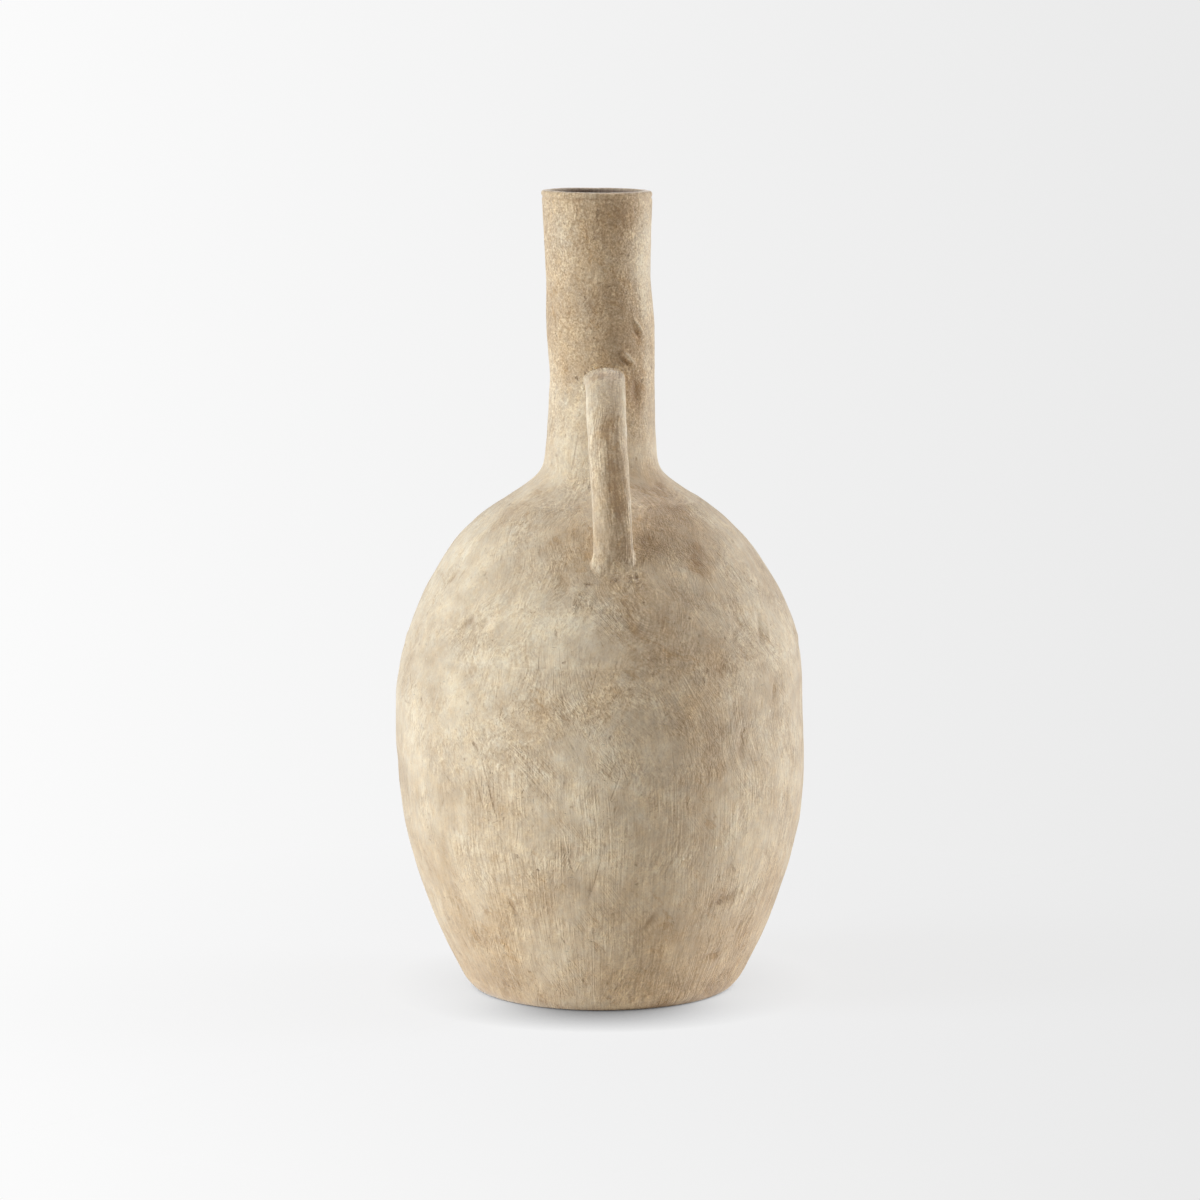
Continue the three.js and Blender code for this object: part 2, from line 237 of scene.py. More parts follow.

# finer ones, which the clay's material draws: brown or pale by the same sign as their height, so
# that besides their own colour the sunken ones carry painted shade and the raised ones a painted highlight
fineMarks = [
    ("nick under the lip", -4, 445, 2.2, 0.6, 8, -0.7),
    ("pit left of the strap", -32, 353, 0.9, 0.8, 0, -1.0),
    ("pit on the neck", -29, 332, 0.8, 0.6, 0, -0.7),
    # the pale edges of the creases are painted highlights along their ridges
    ("pale edge of the lower crease", 26, 364.2, 2.8, 0.7, -46, 1.1),
    ("pale edge of the upper crease", 40, 381.2, 2.8, 0.7, -44, 1.1),
    ("rim of slip, top left", -14, 358.6, 2.3, 0.8, 60, 1.3),
    ("rim of slip, top right", 14, 359.2, 2.3, 0.8, -68, 1.3),
    ("rim of slip, left", -25.5, 349.5, 2.2, 0.8, 4, 1.3),
    ("bead of clay", -33, 145, 1.0, 1.0, 0, 1.3),
    ("shade under the bead", -33.2, 142.6, 0.8, 1.1, 0, -0.9),
    ("torn pit", -40.5, 155, 2.2, 0.9, -40, -0.9),
    ("long scratch", -36, 130, 14, 0.5, -14, -0.5),
    ("scratch beside it", -39.5, 128, 12, 0.4, -16, -0.4),
    ("pit by the seam", 10, 197, 0.9, 0.9, 0, -0.9),
    ("low pit", -29, 94, 0.9, 0.9, 0, -0.9),
    ("pit beside it", -23, 87, 0.7, 0.7, 0, -0.8),
    ("pale speck", 6, 147, 0.8, 0.7, 0, 1.2),
    ("pale speck low", 19, 93, 0.8, 0.6, 0, 1.2),
    ("pale speck left", -8.5, 181, 0.8, 0.8, 0, 1.1),
    ("dark dash by the handle", -9.4, 244.8, 0.5, 2.0, 4, -1.0),
    ("pit in the low fold", 34, 64, 1.0, 1.6, 0, -0.9),
    ("pit near the foot", -2, 9, 1.0, 1.2, 0, -0.9),
]

# where crumbs of slip stuck: angle, height, half width and half height
crumbs = [
    (-13.5, 234, 1.4, 5),
    (-11, 240, 4, 1.4),
    (-8.4, 234.5, 1.4, 4),
    (-11, 236, 3, 3),
    (-9.4, 244.5, 2, 2),
    (6, 247, 6, 3.5),
    (8, 243, 4, 3),
    (0, 247, 5, 2.5),
    (13, 262, 2, 5),
    # the torn rim of slip round the top of the strap
    (-25, 350, 1.2, 3),
    (-21, 356, 1.8, 1.8),
    (-13, 359, 2.6, 1.2),
    (-2, 360, 3, 1.2),
    (9, 359.5, 3, 1.2),
    (20, 357, 2, 1.4),
    (25, 352, 1.2, 2.5),
]

# brown where the slip is rubbed back to the clay, pale where it was laid on thick, and in some places
# painted shade and painted light that make up for how the lamps fall: angle, height,
# half width, half height and strength, below zero for pale
stainsAndShades = [
    # the neck
    (9, 446, 16, 12, 0.6),
    (-7, 434, 9, 9, 1.0),
    (-9, 394, 15, 24, 0.6),
    (25, 365, 12, 16, 0.5),
    (23, 388, 8, 22, 0.5),
    (-69, 385, 14, 20, 0.8),
    (-23, 400, 7, 14, -0.7),
    (-18, 383, 7, 9, -0.6),
    (-48, 430, 9, 12, -0.8),
    (48, 413, 10, 26, -0.8),
    (49, 368, 9, 14, -0.5),
    (50, 331, 8, 12, -0.4),
    (-35, 333, 10, 16, -0.9),
    (-37, 304, 12, 20, -0.7),
    # painted shadow of the strap on the neck beside its top
    (37, 345, 7, 9, 1.6),
    (17, 375, 16, 10, 0.5),
    (-48, 432, 7, 10, -0.3),
    (-24, 417, 7, 9, 0.5),
    (22, 452, 9, 4, 0.7),
    (51, 418, 6, 22, -0.5),
    (64, 422, 14, 28, -1.6),
    (26, 442, 7, 12, 0.8),
    (-6, 452, 7, 4, -0.8),
    (-40, 352, 9, 12, 0.6),
    (27, 371, 6, 6, -0.7),
    # painted shadow of the strap on the neck beside its top
    (35, 345, 4, 8, 1.4),
    (36, 367, 6, 8, 0.9),
    (-58, 367, 10, 8, 0.8),
    # painted shadow of the strap on the neck, further down
    (36, 329, 5, 10, 0.6),
    (24, 394, 8, 9, 0.4),
    # round the foot of the handle
    (-15, 262, 13, 12, 1.0),
    (-9, 266, 8, 8, 0.8),
    (19, 266, 14, 11, 1.3),
    (38, 260, 20, 12, 0.7),
    (35, 255, 10, 9, 0.9),
    (34, 279, 13, 9, 1.9),
    (44, 274, 9, 9, 0.7),
    (29, 288, 7, 6, -0.2),
    (12, 267, 6, 9, 1.4),
    (-17, 274, 8, 9, 0.5),
    (2, 249, 16, 6, 0.6),
    (-32, 343, 8, 12, -0.5),
    (40, 290, 14, 9, 0.7),
    (20, 247, 9, 8, 0.8),
    (4, 236, 12, 8, 0.8),
    (-23, 266, 9, 9, 0.5),
    (-19, 246, 14, 9, 0.6),
    (-5, 247, 8, 6, 0.6),
    (9, 241, 10, 8, 0.8),
    (21, 236, 12, 9, 0.5),
    (24, 248, 16, 10, -0.4),
    # the shoulder
    (-60, 284, 20, 14, 0.35),
    (48, 290, 9, 9, 0.8),
    (25, 281, 6, 7, 0.6),
    (50, 278, 10, 7, 0.4),
    (-59, 271, 9, 8, 0.4),
    (-40, 276, 20, 12, 0.4),
    (-38, 237, 8, 8, 0.5),
    (9, 216, 28, 18, 0.7),
    (14, 204, 12, 10, 0.4),
    (33, 207, 16, 14, 0.5),
    (50, 215, 10, 10, 0.4),
    (-48, 215, 8, 12, 0.5),
    (36, 250, 8, 12, 0.8),
    (-48, 210, 14, 20, -0.3),
    (-4, 190, 9, 9, 0.6),
    (30, 192, 8, 12, 0.6),
    (28, 202, 7, 8, 0.8),
    (-24, 226, 34, 16, -0.9),
    (-62, 228, 16, 16, -0.6),
    (-47, 219, 9, 10, -0.5),
    (-58, 200, 9, 9, -0.5),
    (-22, 202, 7, 9, -0.7),
    (-30, 187, 12, 8, -0.7),
    (48, 236, 8, 14, -0.4),
    (-11, 241, 9, 8, -0.7),
    (-46, 234, 12, 10, -0.7),
    (-66, 224, 10, 9, -0.4),
    (-40, 200, 8, 9, -1.2),
    (-51, 259, 14, 12, -0.5),
    (-87, 253, 20, 20, -0.6),
    (52, 234, 16, 14, -0.7),
    (40, 217, 9, 9, -0.8),
    (54, 217, 9, 16, -0.4),
    (-35, 196, 9, 10, -0.7),
    # painted light along the left edge
    (-62, 222, 20, 16, -0.4),
    (-52, 196, 8, 8, -0.5),
    (14, 222, 14, 12, 0.3),
    (50, 222, 10, 10, -0.5),
    # the belly
    (53, 181, 9, 9, 0.6),
    (-4, 181, 11, 8, 1.0),
    (-19, 172, 13, 18, 0.9),
    (-39, 175, 14, 12, 0.2),
    (-54, 172, 9, 12, 0.2),
    (2, 147, 20, 9, -0.7),
    (-8, 130, 10, 12, -0.6),
    (0, 108, 14, 12, -0.4),
    (29, 142, 7, 18, 0.8),
    (24, 172, 18, 26, 0.4),
    (20, 177, 8, 7, 0.9),
    (10, 128, 8, 8, 0.7),
    (-21, 178, 6, 8, 0.6),
    (40, 184, 12, 10, -0.5),
    (40, 211, 9, 9, -0.4),
    (-62, 138, 14, 12, -0.4),
    (-21, 130, 8, 9, -0.5),
    (-6, 94, 9, 14, -0.6),
    (38, 154, 6, 12, 0.5),
    (53, 121, 7, 12, 0.4),
    (-33, 114, 15, 20, 0.5),
    (-46, 113, 9, 9, -0.7),
    # painted shade in a strip where the key lamp's light gives way to the rim lamps', and painted light
    # beside it
    (24, 122, 5, 50, 0.4),
    (36, 132, 8, 40, -0.6),
    (-12, 112, 14, 24, -0.6),
    (14, 190, 26, 8, 0.2),
    (-30, 198, 12, 9, -0.5),
    (-4, 197, 9, 9, 0.5),
    (-53, 168, 14, 10, -0.1),
    (-74, 85, 12, 16, 0.6),
    (-65, 83, 8, 7, 0.5),
    (-49, 187, 12, 12, -0.9),
    (-68, 143, 16, 36, -0.9),
    (-90, 160, 20, 40, -0.5),
    (-17, 148, 12, 20, -0.4),
    (-11, 146, 8, 20, -0.8),
    (13, 127, 16, 18, -0.4),
    (-5, 95, 14, 20, -1.2),
    (18, 82, 18, 12, -0.8),
    (47, 165, 9, 18, -0.4),
    (43, 127, 10, 14, -0.4),
    (64, 103, 8, 12, -0.4),
    (66, 120, 16, 60, -0.5),
    (64, 215, 14, 30, -0.4),
    # out of the camera's sight: painted shade that darkens the side where the right-hand lamps fall
    # straight on it
    (118, 150, 42, 110, 0.7),
    (52, 108, 10, 12, -0.5),
    (-18, 220, 12, 12, -0.4),
    (-64, 180, 16, 50, -0.2),
    # towards the foot
    (-25, 72, 26, 14, 0.5),
    (-60, 52, 14, 24, 0.7),
    (-38, 34, 10, 8, 0.5),
    (62, 62, 12, 24, 0.5),
    (-2, 34, 12, 10, -0.6),
    (-55, 40, 12, 10, 0.5),
    (-10, 40, 8, 8, -0.4),
    (50, 40, 9, 9, 0.5),
    (-22, 24, 8, 8, -0.6),
    (-8, 23, 6, 7, 0.6),
    (-40, 45, 16, 10, 1.3),
    (-58, 82, 14, 14, 0.6),
    (15, 42, 14, 8, 0.8),
    (52, 42, 10, 10, 0.8),
    (58, 70, 10, 22, 0.5),
    (-12, 22, 16, 16, -1.0),
    (-40, 20, 12, 10, 0.5),
    (-11, 64, 9, 14, -0.4),
    (12, 63, 10, 7, -0.7),
    (-4, 70, 18, 12, 0.4),
    (10, 57, 12, 8, 0.7),
    (34, 65, 12, 8, 0.6),
    (40, 45, 16, 7, 0.6),
    (-36, 58, 8, 14, 0.9),
    (-42, 25, 9, 9, 0.9),
    (-47, 28, 14, 16, 0.6),
    (36, 31, 13, 8, 0.6),
    (47, 10, 12, 8, 1.2),
    (-4, 24, 16, 9, 0.5),
    (3, 45, 12, 14, -0.5),
    (-27, 32, 22, 20, -0.8),
    (-10, 5, 30, 6, -0.9),
]


def nearness(angle, z, place, halfAcross, halfUp, slant=0):
    # a bell in the pot's surface round a place, turned by a slant
    placeAngle, placeHeight = place
    turned = (np.degrees(angle) - placeAngle + 180) % 360 - 180
    across = np.radians(turned) * radiusAt(z)
    up = z - placeHeight
    c, s = math.cos(math.radians(slant)), math.sin(math.radians(slant))
    return np.exp(-(((across * c - up * s) / halfAcross) ** 2) - ((across * s + up * c) / halfUp) ** 2)


def polar(angle, radius, z):
    # the point at an angle, a radius and a height
    return np.stack([radius * np.sin(angle), -radius * np.cos(angle), z], -1)


def aboutAxis(angle, radius, z):
    # the same, with the radius measured from the wandering axis
    points = polar(angle, radius, z)
    points[..., 0] += wanderAt(z)
    return points


def angleOf(points):
    # the angle round the wandering axis at which points lie
    return np.arctan2(points[..., 0] - wanderAt(points[..., 2]), -points[..., 1])


def unrolled(angle, along, radius, slant=0):
    # the wall laid out as a drum of one radius, so that a pattern keeps its size and meets itself
    # behind. A slant turns the drum as it rises, which leans every stroke
    return polar(angle + math.tan(math.radians(slant)) * along / radius, radius, along)


handWork = {
    "swell": (60, 0.45),  # lattice and height of each layer of unevenness
    "lump": (26, 0.5),
    "finger": (11, 0.34),
    "drag": (5, 0.12),
    "seamLedge": 0.35,
    "lipGroove": 0.6,
    "lipGrooveAt": 453.2,
    "dents": 150,
    "dentsBySeam": 0.45,  # share of them along the body seam
    "dentLong": (2.2, 6.0),
    "dentWide": (1.4, 3.2),
    "dentSlant": (15, 40),  # middle and spread
    "dentDeep": (0.12, 0.5),
    "dentSeed": 41,
    # kinds of small mark: longest and widest half, how much it leans, how far it stands out, how many
    "markKinds": [
        (1.0, 0.9, 30, -0.7, 260),
        (3.2, 0.8, 35, -0.5, 420),
        (9, 0.45, 22, -0.35, 160),
        (0.8, 0.7, 30, 0.8, 200),
        (7, 0.5, 22, 0.4, 160),
    ],
    "markSeed": 7,
}


# where the outline itself bulges or falls in: side (-1 left, 1 right), height, half height, amount
bulges = [
    (-1, 121, 20, -0.75),
    (-1, 182, 9, -0.3),
    (-1, 259, 13, 0.6),
    (-1, 278, 6, -0.35),
    (-1, 309, 9, 0.85),
    (-1, 408, 26, 0.45),
    (1, 56, 14, -0.3),
    (1, 103, 20, 0.6),
    (1, 172, 8, -0.25),
    (1, 204, 10, 0.25),
    (1, 241, 13, -0.5),
    (1, 291, 8, 0.3),
    (1, 325, 10, -0.7),
    (1, 362, 12, 0.25),
    (1, 408, 14, -0.6),
]


def randomDents():
    # small presses of finger and tool all over the body, closest together along the body seam
    roll = np.random.default_rng(handWork["dentSeed"])
    n = handWork["dents"]
    # those by the seam gather just above it, and the rest are anywhere from foot to shoulder
    nearSeam = roll.random(n) < handWork["dentsBySeam"]
    height = np.where(nearSeam, roll.normal(pot["bodySeam"] + 6, 11, n), roll.uniform(12, 270, n))
    return np.stack(
        [
            roll.uniform(-180, 180, n),
            height,
            roll.uniform(*handWork["dentLong"], n),
            roll.uniform(*handWork["dentWide"], n),
            roll.normal(*handWork["dentSlant"], n),
            -roll.uniform(*handWork["dentDeep"], n),
        ],
        1,
    )


def randomMarks():
    # pits, ticks, scratches and specks strewn over the whole pot, none nearer than 10 mm to another
    roll = np.random.default_rng(handWork["markSeed"])
    kept = [list(mark[1:]) for mark in fineMarks]
    for longest, widest, tilt, tall, count in handWork["markKinds"]:
        for a, z, x, y, lean, strong in zip(
            roll.uniform(-180, 180, count),
            roll.uniform(6, 450, count),
            roll.uniform(0.35, 1, count),
            roll.uniform(0.5, 1, count),
            roll.normal(0, 1, count),
            roll.uniform(0.5, 1, count),
        ):
            there = np.array(kept)
            way = np.radians((there[:, 0] - a + 180) % 360 - 180) * radiusAt(z)
            if np.hypot(way, there[:, 1] - z).min() > 10:
                kept.append([a, z, longest * x, widest * y, tilt * lean, tall * strong])
    return np.array(kept)


dents = randomDents()
smallMarks = randomMarks()


def relief(points, angle, along, z):
    # how far the hand-worked surface stands off the outline: layers of noise, a ledge at the body
    # seam, and every mark and dent as a bell of its own
    out = np.zeros(z.shape)
    for i, name in enumerate(("swell", "lump", "finger")):
        size, tall = handWork[name]
        out += tall * cloud(points, size, i)
    size, tall = handWork["drag"]
    out += tall * cloud(unrolled(angle, along, 60) * (1, 1, 0.3), size, 4)
    seam = pot["bodySeam"] + 2.5 * cloud(points * (1, 1, 0), 30, 5)
    out += handWork["seamLedge"] * (bell(z - seam - 2, 2.2) - 0.6 * bell(z - seam + 3, 3))
    for side, h, halfUp, tall in bulges:
        facing = np.clip(side * np.sin(angle - math.radians(camera["azimuth"])), 0, 1) ** 3
        out += tall * facing * bell(z - h, halfUp)
    lipLine = handWork["lipGrooveAt"] + 0.7 * cloud(points * (1, 1, 0), 16, 6)
    out -= handWork["lipGroove"] * bell(z - lipLine, 0.9)
    # all of this dies away at the very foot, and is half as high at the lip's crest
    out *= np.clip(z / 3, 0, 1) * np.clip((pot["height"] + 4 - z) / 8, 0.5, 1)
    low, high = z.min() - 12, z.max() + 12
    for a, h, longHalf, wideHalf, slant, tall in [mark[1:] for mark in marks] + dents.tolist():
        if low < h < high:
            out += tall * nearness(angle, z, (a, h), wideHalf, longHalf, slant)
    return out


def direction(along, lengths, line, step):
    # how far a line goes across and up, from a step before a place on it to a step past it
    return [
        np.interp(along + step, lengths, line[:, i]) - np.interp(along - step, lengths, line[:, i])
        for i in (0, 1)
    ]


def potSurface(angle, along):
    # the outside: the outline turned round the wandering axis, pushed out along its own normal
    r = np.interp(along, outlineLength, outline[:, 0])
    z = np.interp(along, outlineLength, outline[:, 1])
    ahead, higher = direction(along, outlineLength, outline, 0.5)
    size = np.hypot(ahead, higher)
    outR, outZ = higher / size, -ahead / size
    plain = aboutAxis(angle, r, z)
    push = relief(plain, angle, along, z)
    points = plain + push[..., None] * polar(angle, outR, outZ)
    tilt = pot["lipTilt"] * np.clip((z - 400) / 57, 0, 1) ** 2
    points[..., 2] -= tilt * np.sin(angle)
    points[..., 2] = np.maximum(points[..., 2], 0)
    return points, push


def insideSurface(angle, r, z, rough=1.0):
    # the hidden side of the wall: smoother, with the slow spiral of the fingers that pulled it up
    z = z + 0 * angle
    spiral = 0.25 * np.sin(2 * math.pi * z / 9 + angle)
    plain = aboutAxis(angle, r, z)
    push = rough * (spiral + 0.8 * cloud(plain, 18, 7) + 0.25 * cloud(plain, 6, 8))
    plain[..., 0] += push * np.sin(angle)
    plain[..., 1] -= push * np.cos(angle)
    return plain


def gridFaces(rows, columns, closeRows):
    # four-sided faces between neighbours on a grid whose columns meet round the back
    up = rows if closeRows else rows - 1
    i = np.arange(up)[:, None]
    j = np.arange(columns)[None, :]
    right = (j + 1) % columns
    above = (i + 1) % rows
    low, high = i * columns, above * columns
    return np.stack([low + j, low + right, high + right, high + j], -1).reshape(-1, 4)


def seamNormals(angle, along):
    # the skin's own normal along a ring, from the points just beside it, so that two pieces that
    # meet there are shaded as one surface
    along = along + 0 * angle
    up = potSurface(angle, along + 0.7)[0] - potSurface(angle, along - 0.7)[0]
    across = potSurface(angle + 0.01, along)[0] - potSurface(angle - 0.01, along)[0]
    normal = np.cross(across, up)
    return normal / np.linalg.norm(normal, axis=-1, keepdims=True)


def makePiece(name, points, attributes, closeRows=True, capped=False, seams=None):
    # puts a grid of points (rows, columns, 3) in mm into a mesh in metres, and turns the faces
    # outwards by the sign of the enclosed volume. A capped grid closes each end on its middle
    rows, columns = points.shape[:2]
    verts = points.reshape(-1, 3) * mm
    quads = gridFaces(rows, columns, closeRows)
    faces = [quads]
    values = {key: np.asarray(value).reshape(rows * columns, -1) for key, value in attributes.items()}
    if capped:
        ring = np.arange(columns)
        ends = []
        for row, turn in ((0, 1), (rows - 1, -1)):
            middle = len(verts)
            verts = np.vstack([verts, (points[row].mean(0) * mm)[None]])
            edge = row * columns + ring
            ends.append(np.stack([np.full(columns, middle), np.roll(edge, -turn), edge], 1))
            for key in values:
                values[key] = np.vstack([values[key], values[key][edge].mean(0)[None]])
        faces += ends
    corners = verts[quads]
    volume = np.einsum("ij,ij->i", corners[:, 0], np.cross(corners[:, 1], corners[:, 2])).sum()
    volume += np.einsum("ij,ij->i", corners[:, 0], np.cross(corners[:, 2], corners[:, 3])).sum()
    for end in faces[1:]:
        c = verts[end]
        volume += np.einsum("ij,ij->i", c[:, 0], np.cross(c[:, 1], c[:, 2])).sum()
    if volume < 0:
        faces = [f[:, ::-1] for f in faces]
    counts = np.concatenate([np.full(len(f), f.shape[1]) for f in faces])
    mesh = bpy.data.meshes.new(name)
    mesh.vertices.add(len(verts))
    mesh.vertices.foreach_set("co", verts.ravel())
    mesh.loops.add(int(counts.sum()))
    mesh.loops.foreach_set("vertex_index", np.concatenate([f.ravel() for f in faces]).astype(np.int32))
    mesh.polygons.add(len(counts))
    starts = np.concatenate([[0], np.cumsum(counts)[:-1]])
    mesh.polygons.foreach_set("loop_start", starts.astype(np.int32))
    mesh.polygons.foreach_set("use_smooth", np.ones(len(counts), bool))
    mesh.update(calc_edges=True)
    for key, value in values.items():
        kind, field = ("FLOAT_VECTOR", "vector") if value.shape[1] == 3 else ("FLOAT", "value")
        layer = mesh.attributes.new(key, kind, "POINT")
        layer.data.foreach_set(field, value.astype(np.float32).ravel())
    mesh.validate()
    if seams:
        normals = np.zeros((len(verts), 3))
        for row, ringNormals in seams.items():
            normals[row * columns : (row + 1) * columns] = ringNormals
        mesh.normals_split_custom_set_from_vertices(normals.tolist())
    piece = bpy.data.objects.new(name, mesh)
    bpy.context.collection.objects.link(piece)
    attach(piece, "root")
    print(name, len(verts), "points, volume", round(abs(volume) / 6 * 1e6, 1), "cm3")
    return piece


def markValues(points, angle):
    # the nearest small mark as seen from each point: how far off it lies across and along, in the
    # mark's own half sizes, and its height. These run evenly between the points of the mesh, so the
    # material can draw a mark finer than the mesh. The second value is nought away from any mark
    z = points[..., 2]
    level = z.mean(axis=1)
    seen = np.full((*z.shape, 3), 9.0)
    here = np.zeros(z.shape)
    for a, h, longHalf, wideHalf, slant, tall in smallMarks:
        rows = np.abs(level - h) < longHalf + 9
        if not rows.any():
            continue
        across = np.radians((np.degrees(angle[rows]) - a + 180) % 360 - 180) * radiusAt(z[rows])
        up = z[rows] - h
        c, s = math.cos(math.radians(slant)), math.sin(math.radians(slant))
        x, y = across * c - up * s, across * s + up * c
        gap = np.hypot(np.maximum(np.abs(x) - wideHalf, 0), np.maximum(np.abs(y) - longHalf, 0))
        close = np.clip((5 - gap) / 1.5, 0, 1)
        before = here[rows]
        nearer = (close > before)[..., None]
        seen[rows] = np.where(nearer, np.stack([x / wideHalf, y / longHalf, tall + 0 * x], -1), seen[rows])
        here[rows] = np.maximum(close, before)
    return seen, here


def surfaceValues(points, angle, along, drum, push, inside):
    # what the clay's material reads at each point: the drums that strokes run on, the brown and
    # pale places, and how deep the point lies in a dent, which the material darkens as painted shade
    z = points[..., 2]
    stainAndShade = np.zeros(z.shape)
    ragged = 7 * cloud(points, 9, 9) + 3 * cloud(points, 4, 10)
    for a, h, halfAcross, halfUp, strong in stainsAndShades:
        if z.min() - 60 < h < z.max() + 60:
            stainAndShade += strong * nearness(angle + ragged / 110, z + ragged, (a, h), halfAcross, halfUp)
    # browner towards the foot and up the whole neck, all the way round
    stainAndShade += 0.9 * bell(z, 34) + 0.3 * bell(z, 90)
    stainAndShade += 0.9 * np.clip((z + ragged - 318) / 50, 0, 1)
    crumb = np.zeros(z.shape)
    for a, h, halfAcross, halfUp in crumbs:
        crumb = np.maximum(crumb, nearness(angle, z, (a, h), halfAcross, halfUp))
    seen, here = markValues(points, angle + 0 * z)
    return {
        "mark": seen,
        "markHere": here * (1 - inside),
        "crumb": crumb * (1 - inside),
        "strokeUp": unrolled(angle, along, drum),
        "strokeLeft": unrolled(angle, along, drum, -24),
        "strokeRight": unrolled(angle, along, drum, 33),
        "stainAndShade": stainAndShade * (1 - inside),
        # the deeper a point lies in a dent, the darker its colour: painted shade
        "hollow": np.clip(-push, 0, 2) * (1 - inside),
        "inside": inside,
    }


def rowsBetween(start, end, step):
    # even places from start to end, a step apart or a little less
    return np.linspace(start, end, max(2, int(math.ceil(abs(end - start) / step)) + 1))


def around(columns):
    # angles of the columns, the first of them behind the pot
    return np.linspace(-math.pi, math.pi, columns, endpoint=False)


def wallPiece(name, low, high, look, innerLine, bed=None):
    # a ring of wall: the outside from low to high, the bed of the next piece if that has one, and
    # the inside back down
    columns = look["columns"]
    angle = around(columns)[None, :]
    along = rowsBetween(low, high, look["step"])[:, None]
    outer, push = potSurface(angle, along + 0 * angle)
    rows = [outer] if bed is None else [outer, bed(angle)]
    rows += [insideSurface(angle, r, z) for r, z in innerLine[::-1]]
    points = np.concatenate(rows)
    hidden = len(points) - len(outer)
    allAlong = np.concatenate([along, np.repeat(along[-1:], hidden, 0)]) + 0 * angle
    allPush = np.concatenate([push, np.zeros((hidden, columns))])
    inside = np.concatenate([np.zeros(outer.shape[:2]), np.ones((hidden, columns))])
    values = surfaceValues(points, angle + 0 * allAlong, allAlong, look["drum"], allPush, inside)
    seams = {0: seamNormals(angle[0], low), len(outer) - 1: seamNormals(angle[0], high)}
    return makePiece(name, points, values, seams=seams)


def insideLine(low, high, count, wall):
    # the outline moved in by the wall, between two heights
    z = np.linspace(low, high, count)
    rising = np.maximum.accumulate(outline[:, 1]) + np.arange(len(outline)) * 1e-9
    slope = np.gradient(outline[:, 0], rising)
    lean = np.interp(z, outline[:, 1], slope)
    thick = wall * np.sqrt(1 + np.clip(lean, -3, 3) ** 2)
    return np.stack([radiusAt(z) - thick, z], 1)


# how finely each wall is divided, and the radius of the drum that its strokes are laid out on
bellyWall = {"columns": 600, "step": 1.45, "drum": 108}
shoulderDome = {"columns": 600, "step": 1.4, "drum": 88}
neckCoil = {"columns": 480, "step": 1.1, "drum": 34}
neckWall = {"columns": 420, "step": 0.9, "lipStep": 0.45, "lipRows": 8, "drum": 34}
floorSlab = {"columns": 480, "step": 1.1, "drum": 78}

bore = pot["neckRoot"][0] - pot["neckWall"]
spigot = pot["neckRoot"][0] - pot["coilBed"]
seat = 295.9  # height at which the neck stands on the dome, under the coil
coilTop = 322.9  # and to which the coil is worked up it


def buildFloor():
    # the slab: its underside, the worn edge up to the wall's seam, and its floor inside
    angle = around(floorSlab["columns"])[None, :]
    along = rowsBetween(0, alongAt(pot["floor"]), floorSlab["step"])[:, None]
    outer, push = potSurface(angle, along + 0 * angle)
    edge = outline[0, 0]
    under = [polar(angle, r, 0 * angle) for r in np.linspace(2, edge, 9)[:-1]]
    floor = pot["floor"] + 0 * angle
    top = [polar(angle, r, floor) for r in np.linspace(radiusAt(pot["floor"]) - 2, 2, 8)]
    points = np.concatenate([*under, outer, *top])
    full = [np.repeat(along[:1], len(under), 0), along, np.repeat(along[-1:], len(top), 0)]
    full = np.concatenate(full) + 0 * angle
    bare = np.zeros((len(under), angle.size))
    pushed = np.concatenate([bare, push, np.zeros((len(top), angle.size))])
    inside = np.concatenate([bare, np.zeros(outer.shape[:2]), np.ones((len(top), angle.size))])
    values = surfaceValues(points, angle + 0 * full, full, floorSlab["drum"], pushed, inside)
    last = len(under) + len(outer) - 1
    seams = {last: seamNormals(angle[0], along[-1, 0])}
    return makePiece("floorSlab", points, values, closeRows=False, capped=True, seams=seams)


def buildBelly():
    line = insideLine(pot["floor"], pot["bodySeam"], 18, pot["bodyWall"])
    return wallPiece("bellyWall", alongAt(pot["floor"]), alongAt(pot["bodySeam"]), bellyWall, line)


def buildDome():
    slope = math.tan(math.radians(pot["shoulderSlope"]))
    shoulderRadius, shoulderHeight = pot["shoulder"]
    line = insideLine(pot["bodySeam"], shoulderHeight - 10, 12, pot["bodyWall"])
    endRadius, endHeight = line[-1]
    mouth = [bore, endHeight + (endRadius - bore) * slope]
    line = np.vstack([line, mouth])

    def bed(angle):
        places = [
            (shoulderRadius - 0.8, shoulderHeight - pot["coilBed"]),
            (spigot + 0.2, seat),
            (bore + 0.2, seat),
        ]
        return np.concatenate([insideSurface(angle, r, z, 0) for r, z in places])

    low, high = alongAt(pot["bodySeam"]), alongAt(shoulderHeight)
    return wallPiece("shoulderDome", low, high, shoulderDome, line, bed)


def buildCoil():
    shoulderRadius, shoulderHeight = pot["shoulder"]
    line = [(shoulderRadius - 1, shoulderHeight - 1.2), (spigot + 0.3, seat + 0.3), (spigot + 0.3, coilTop)]
    low, high = alongAt(shoulderHeight), alongAt(pot["neckRoot"][1])
    return wallPiece("neckCoil", low, high, neckCoil, line)


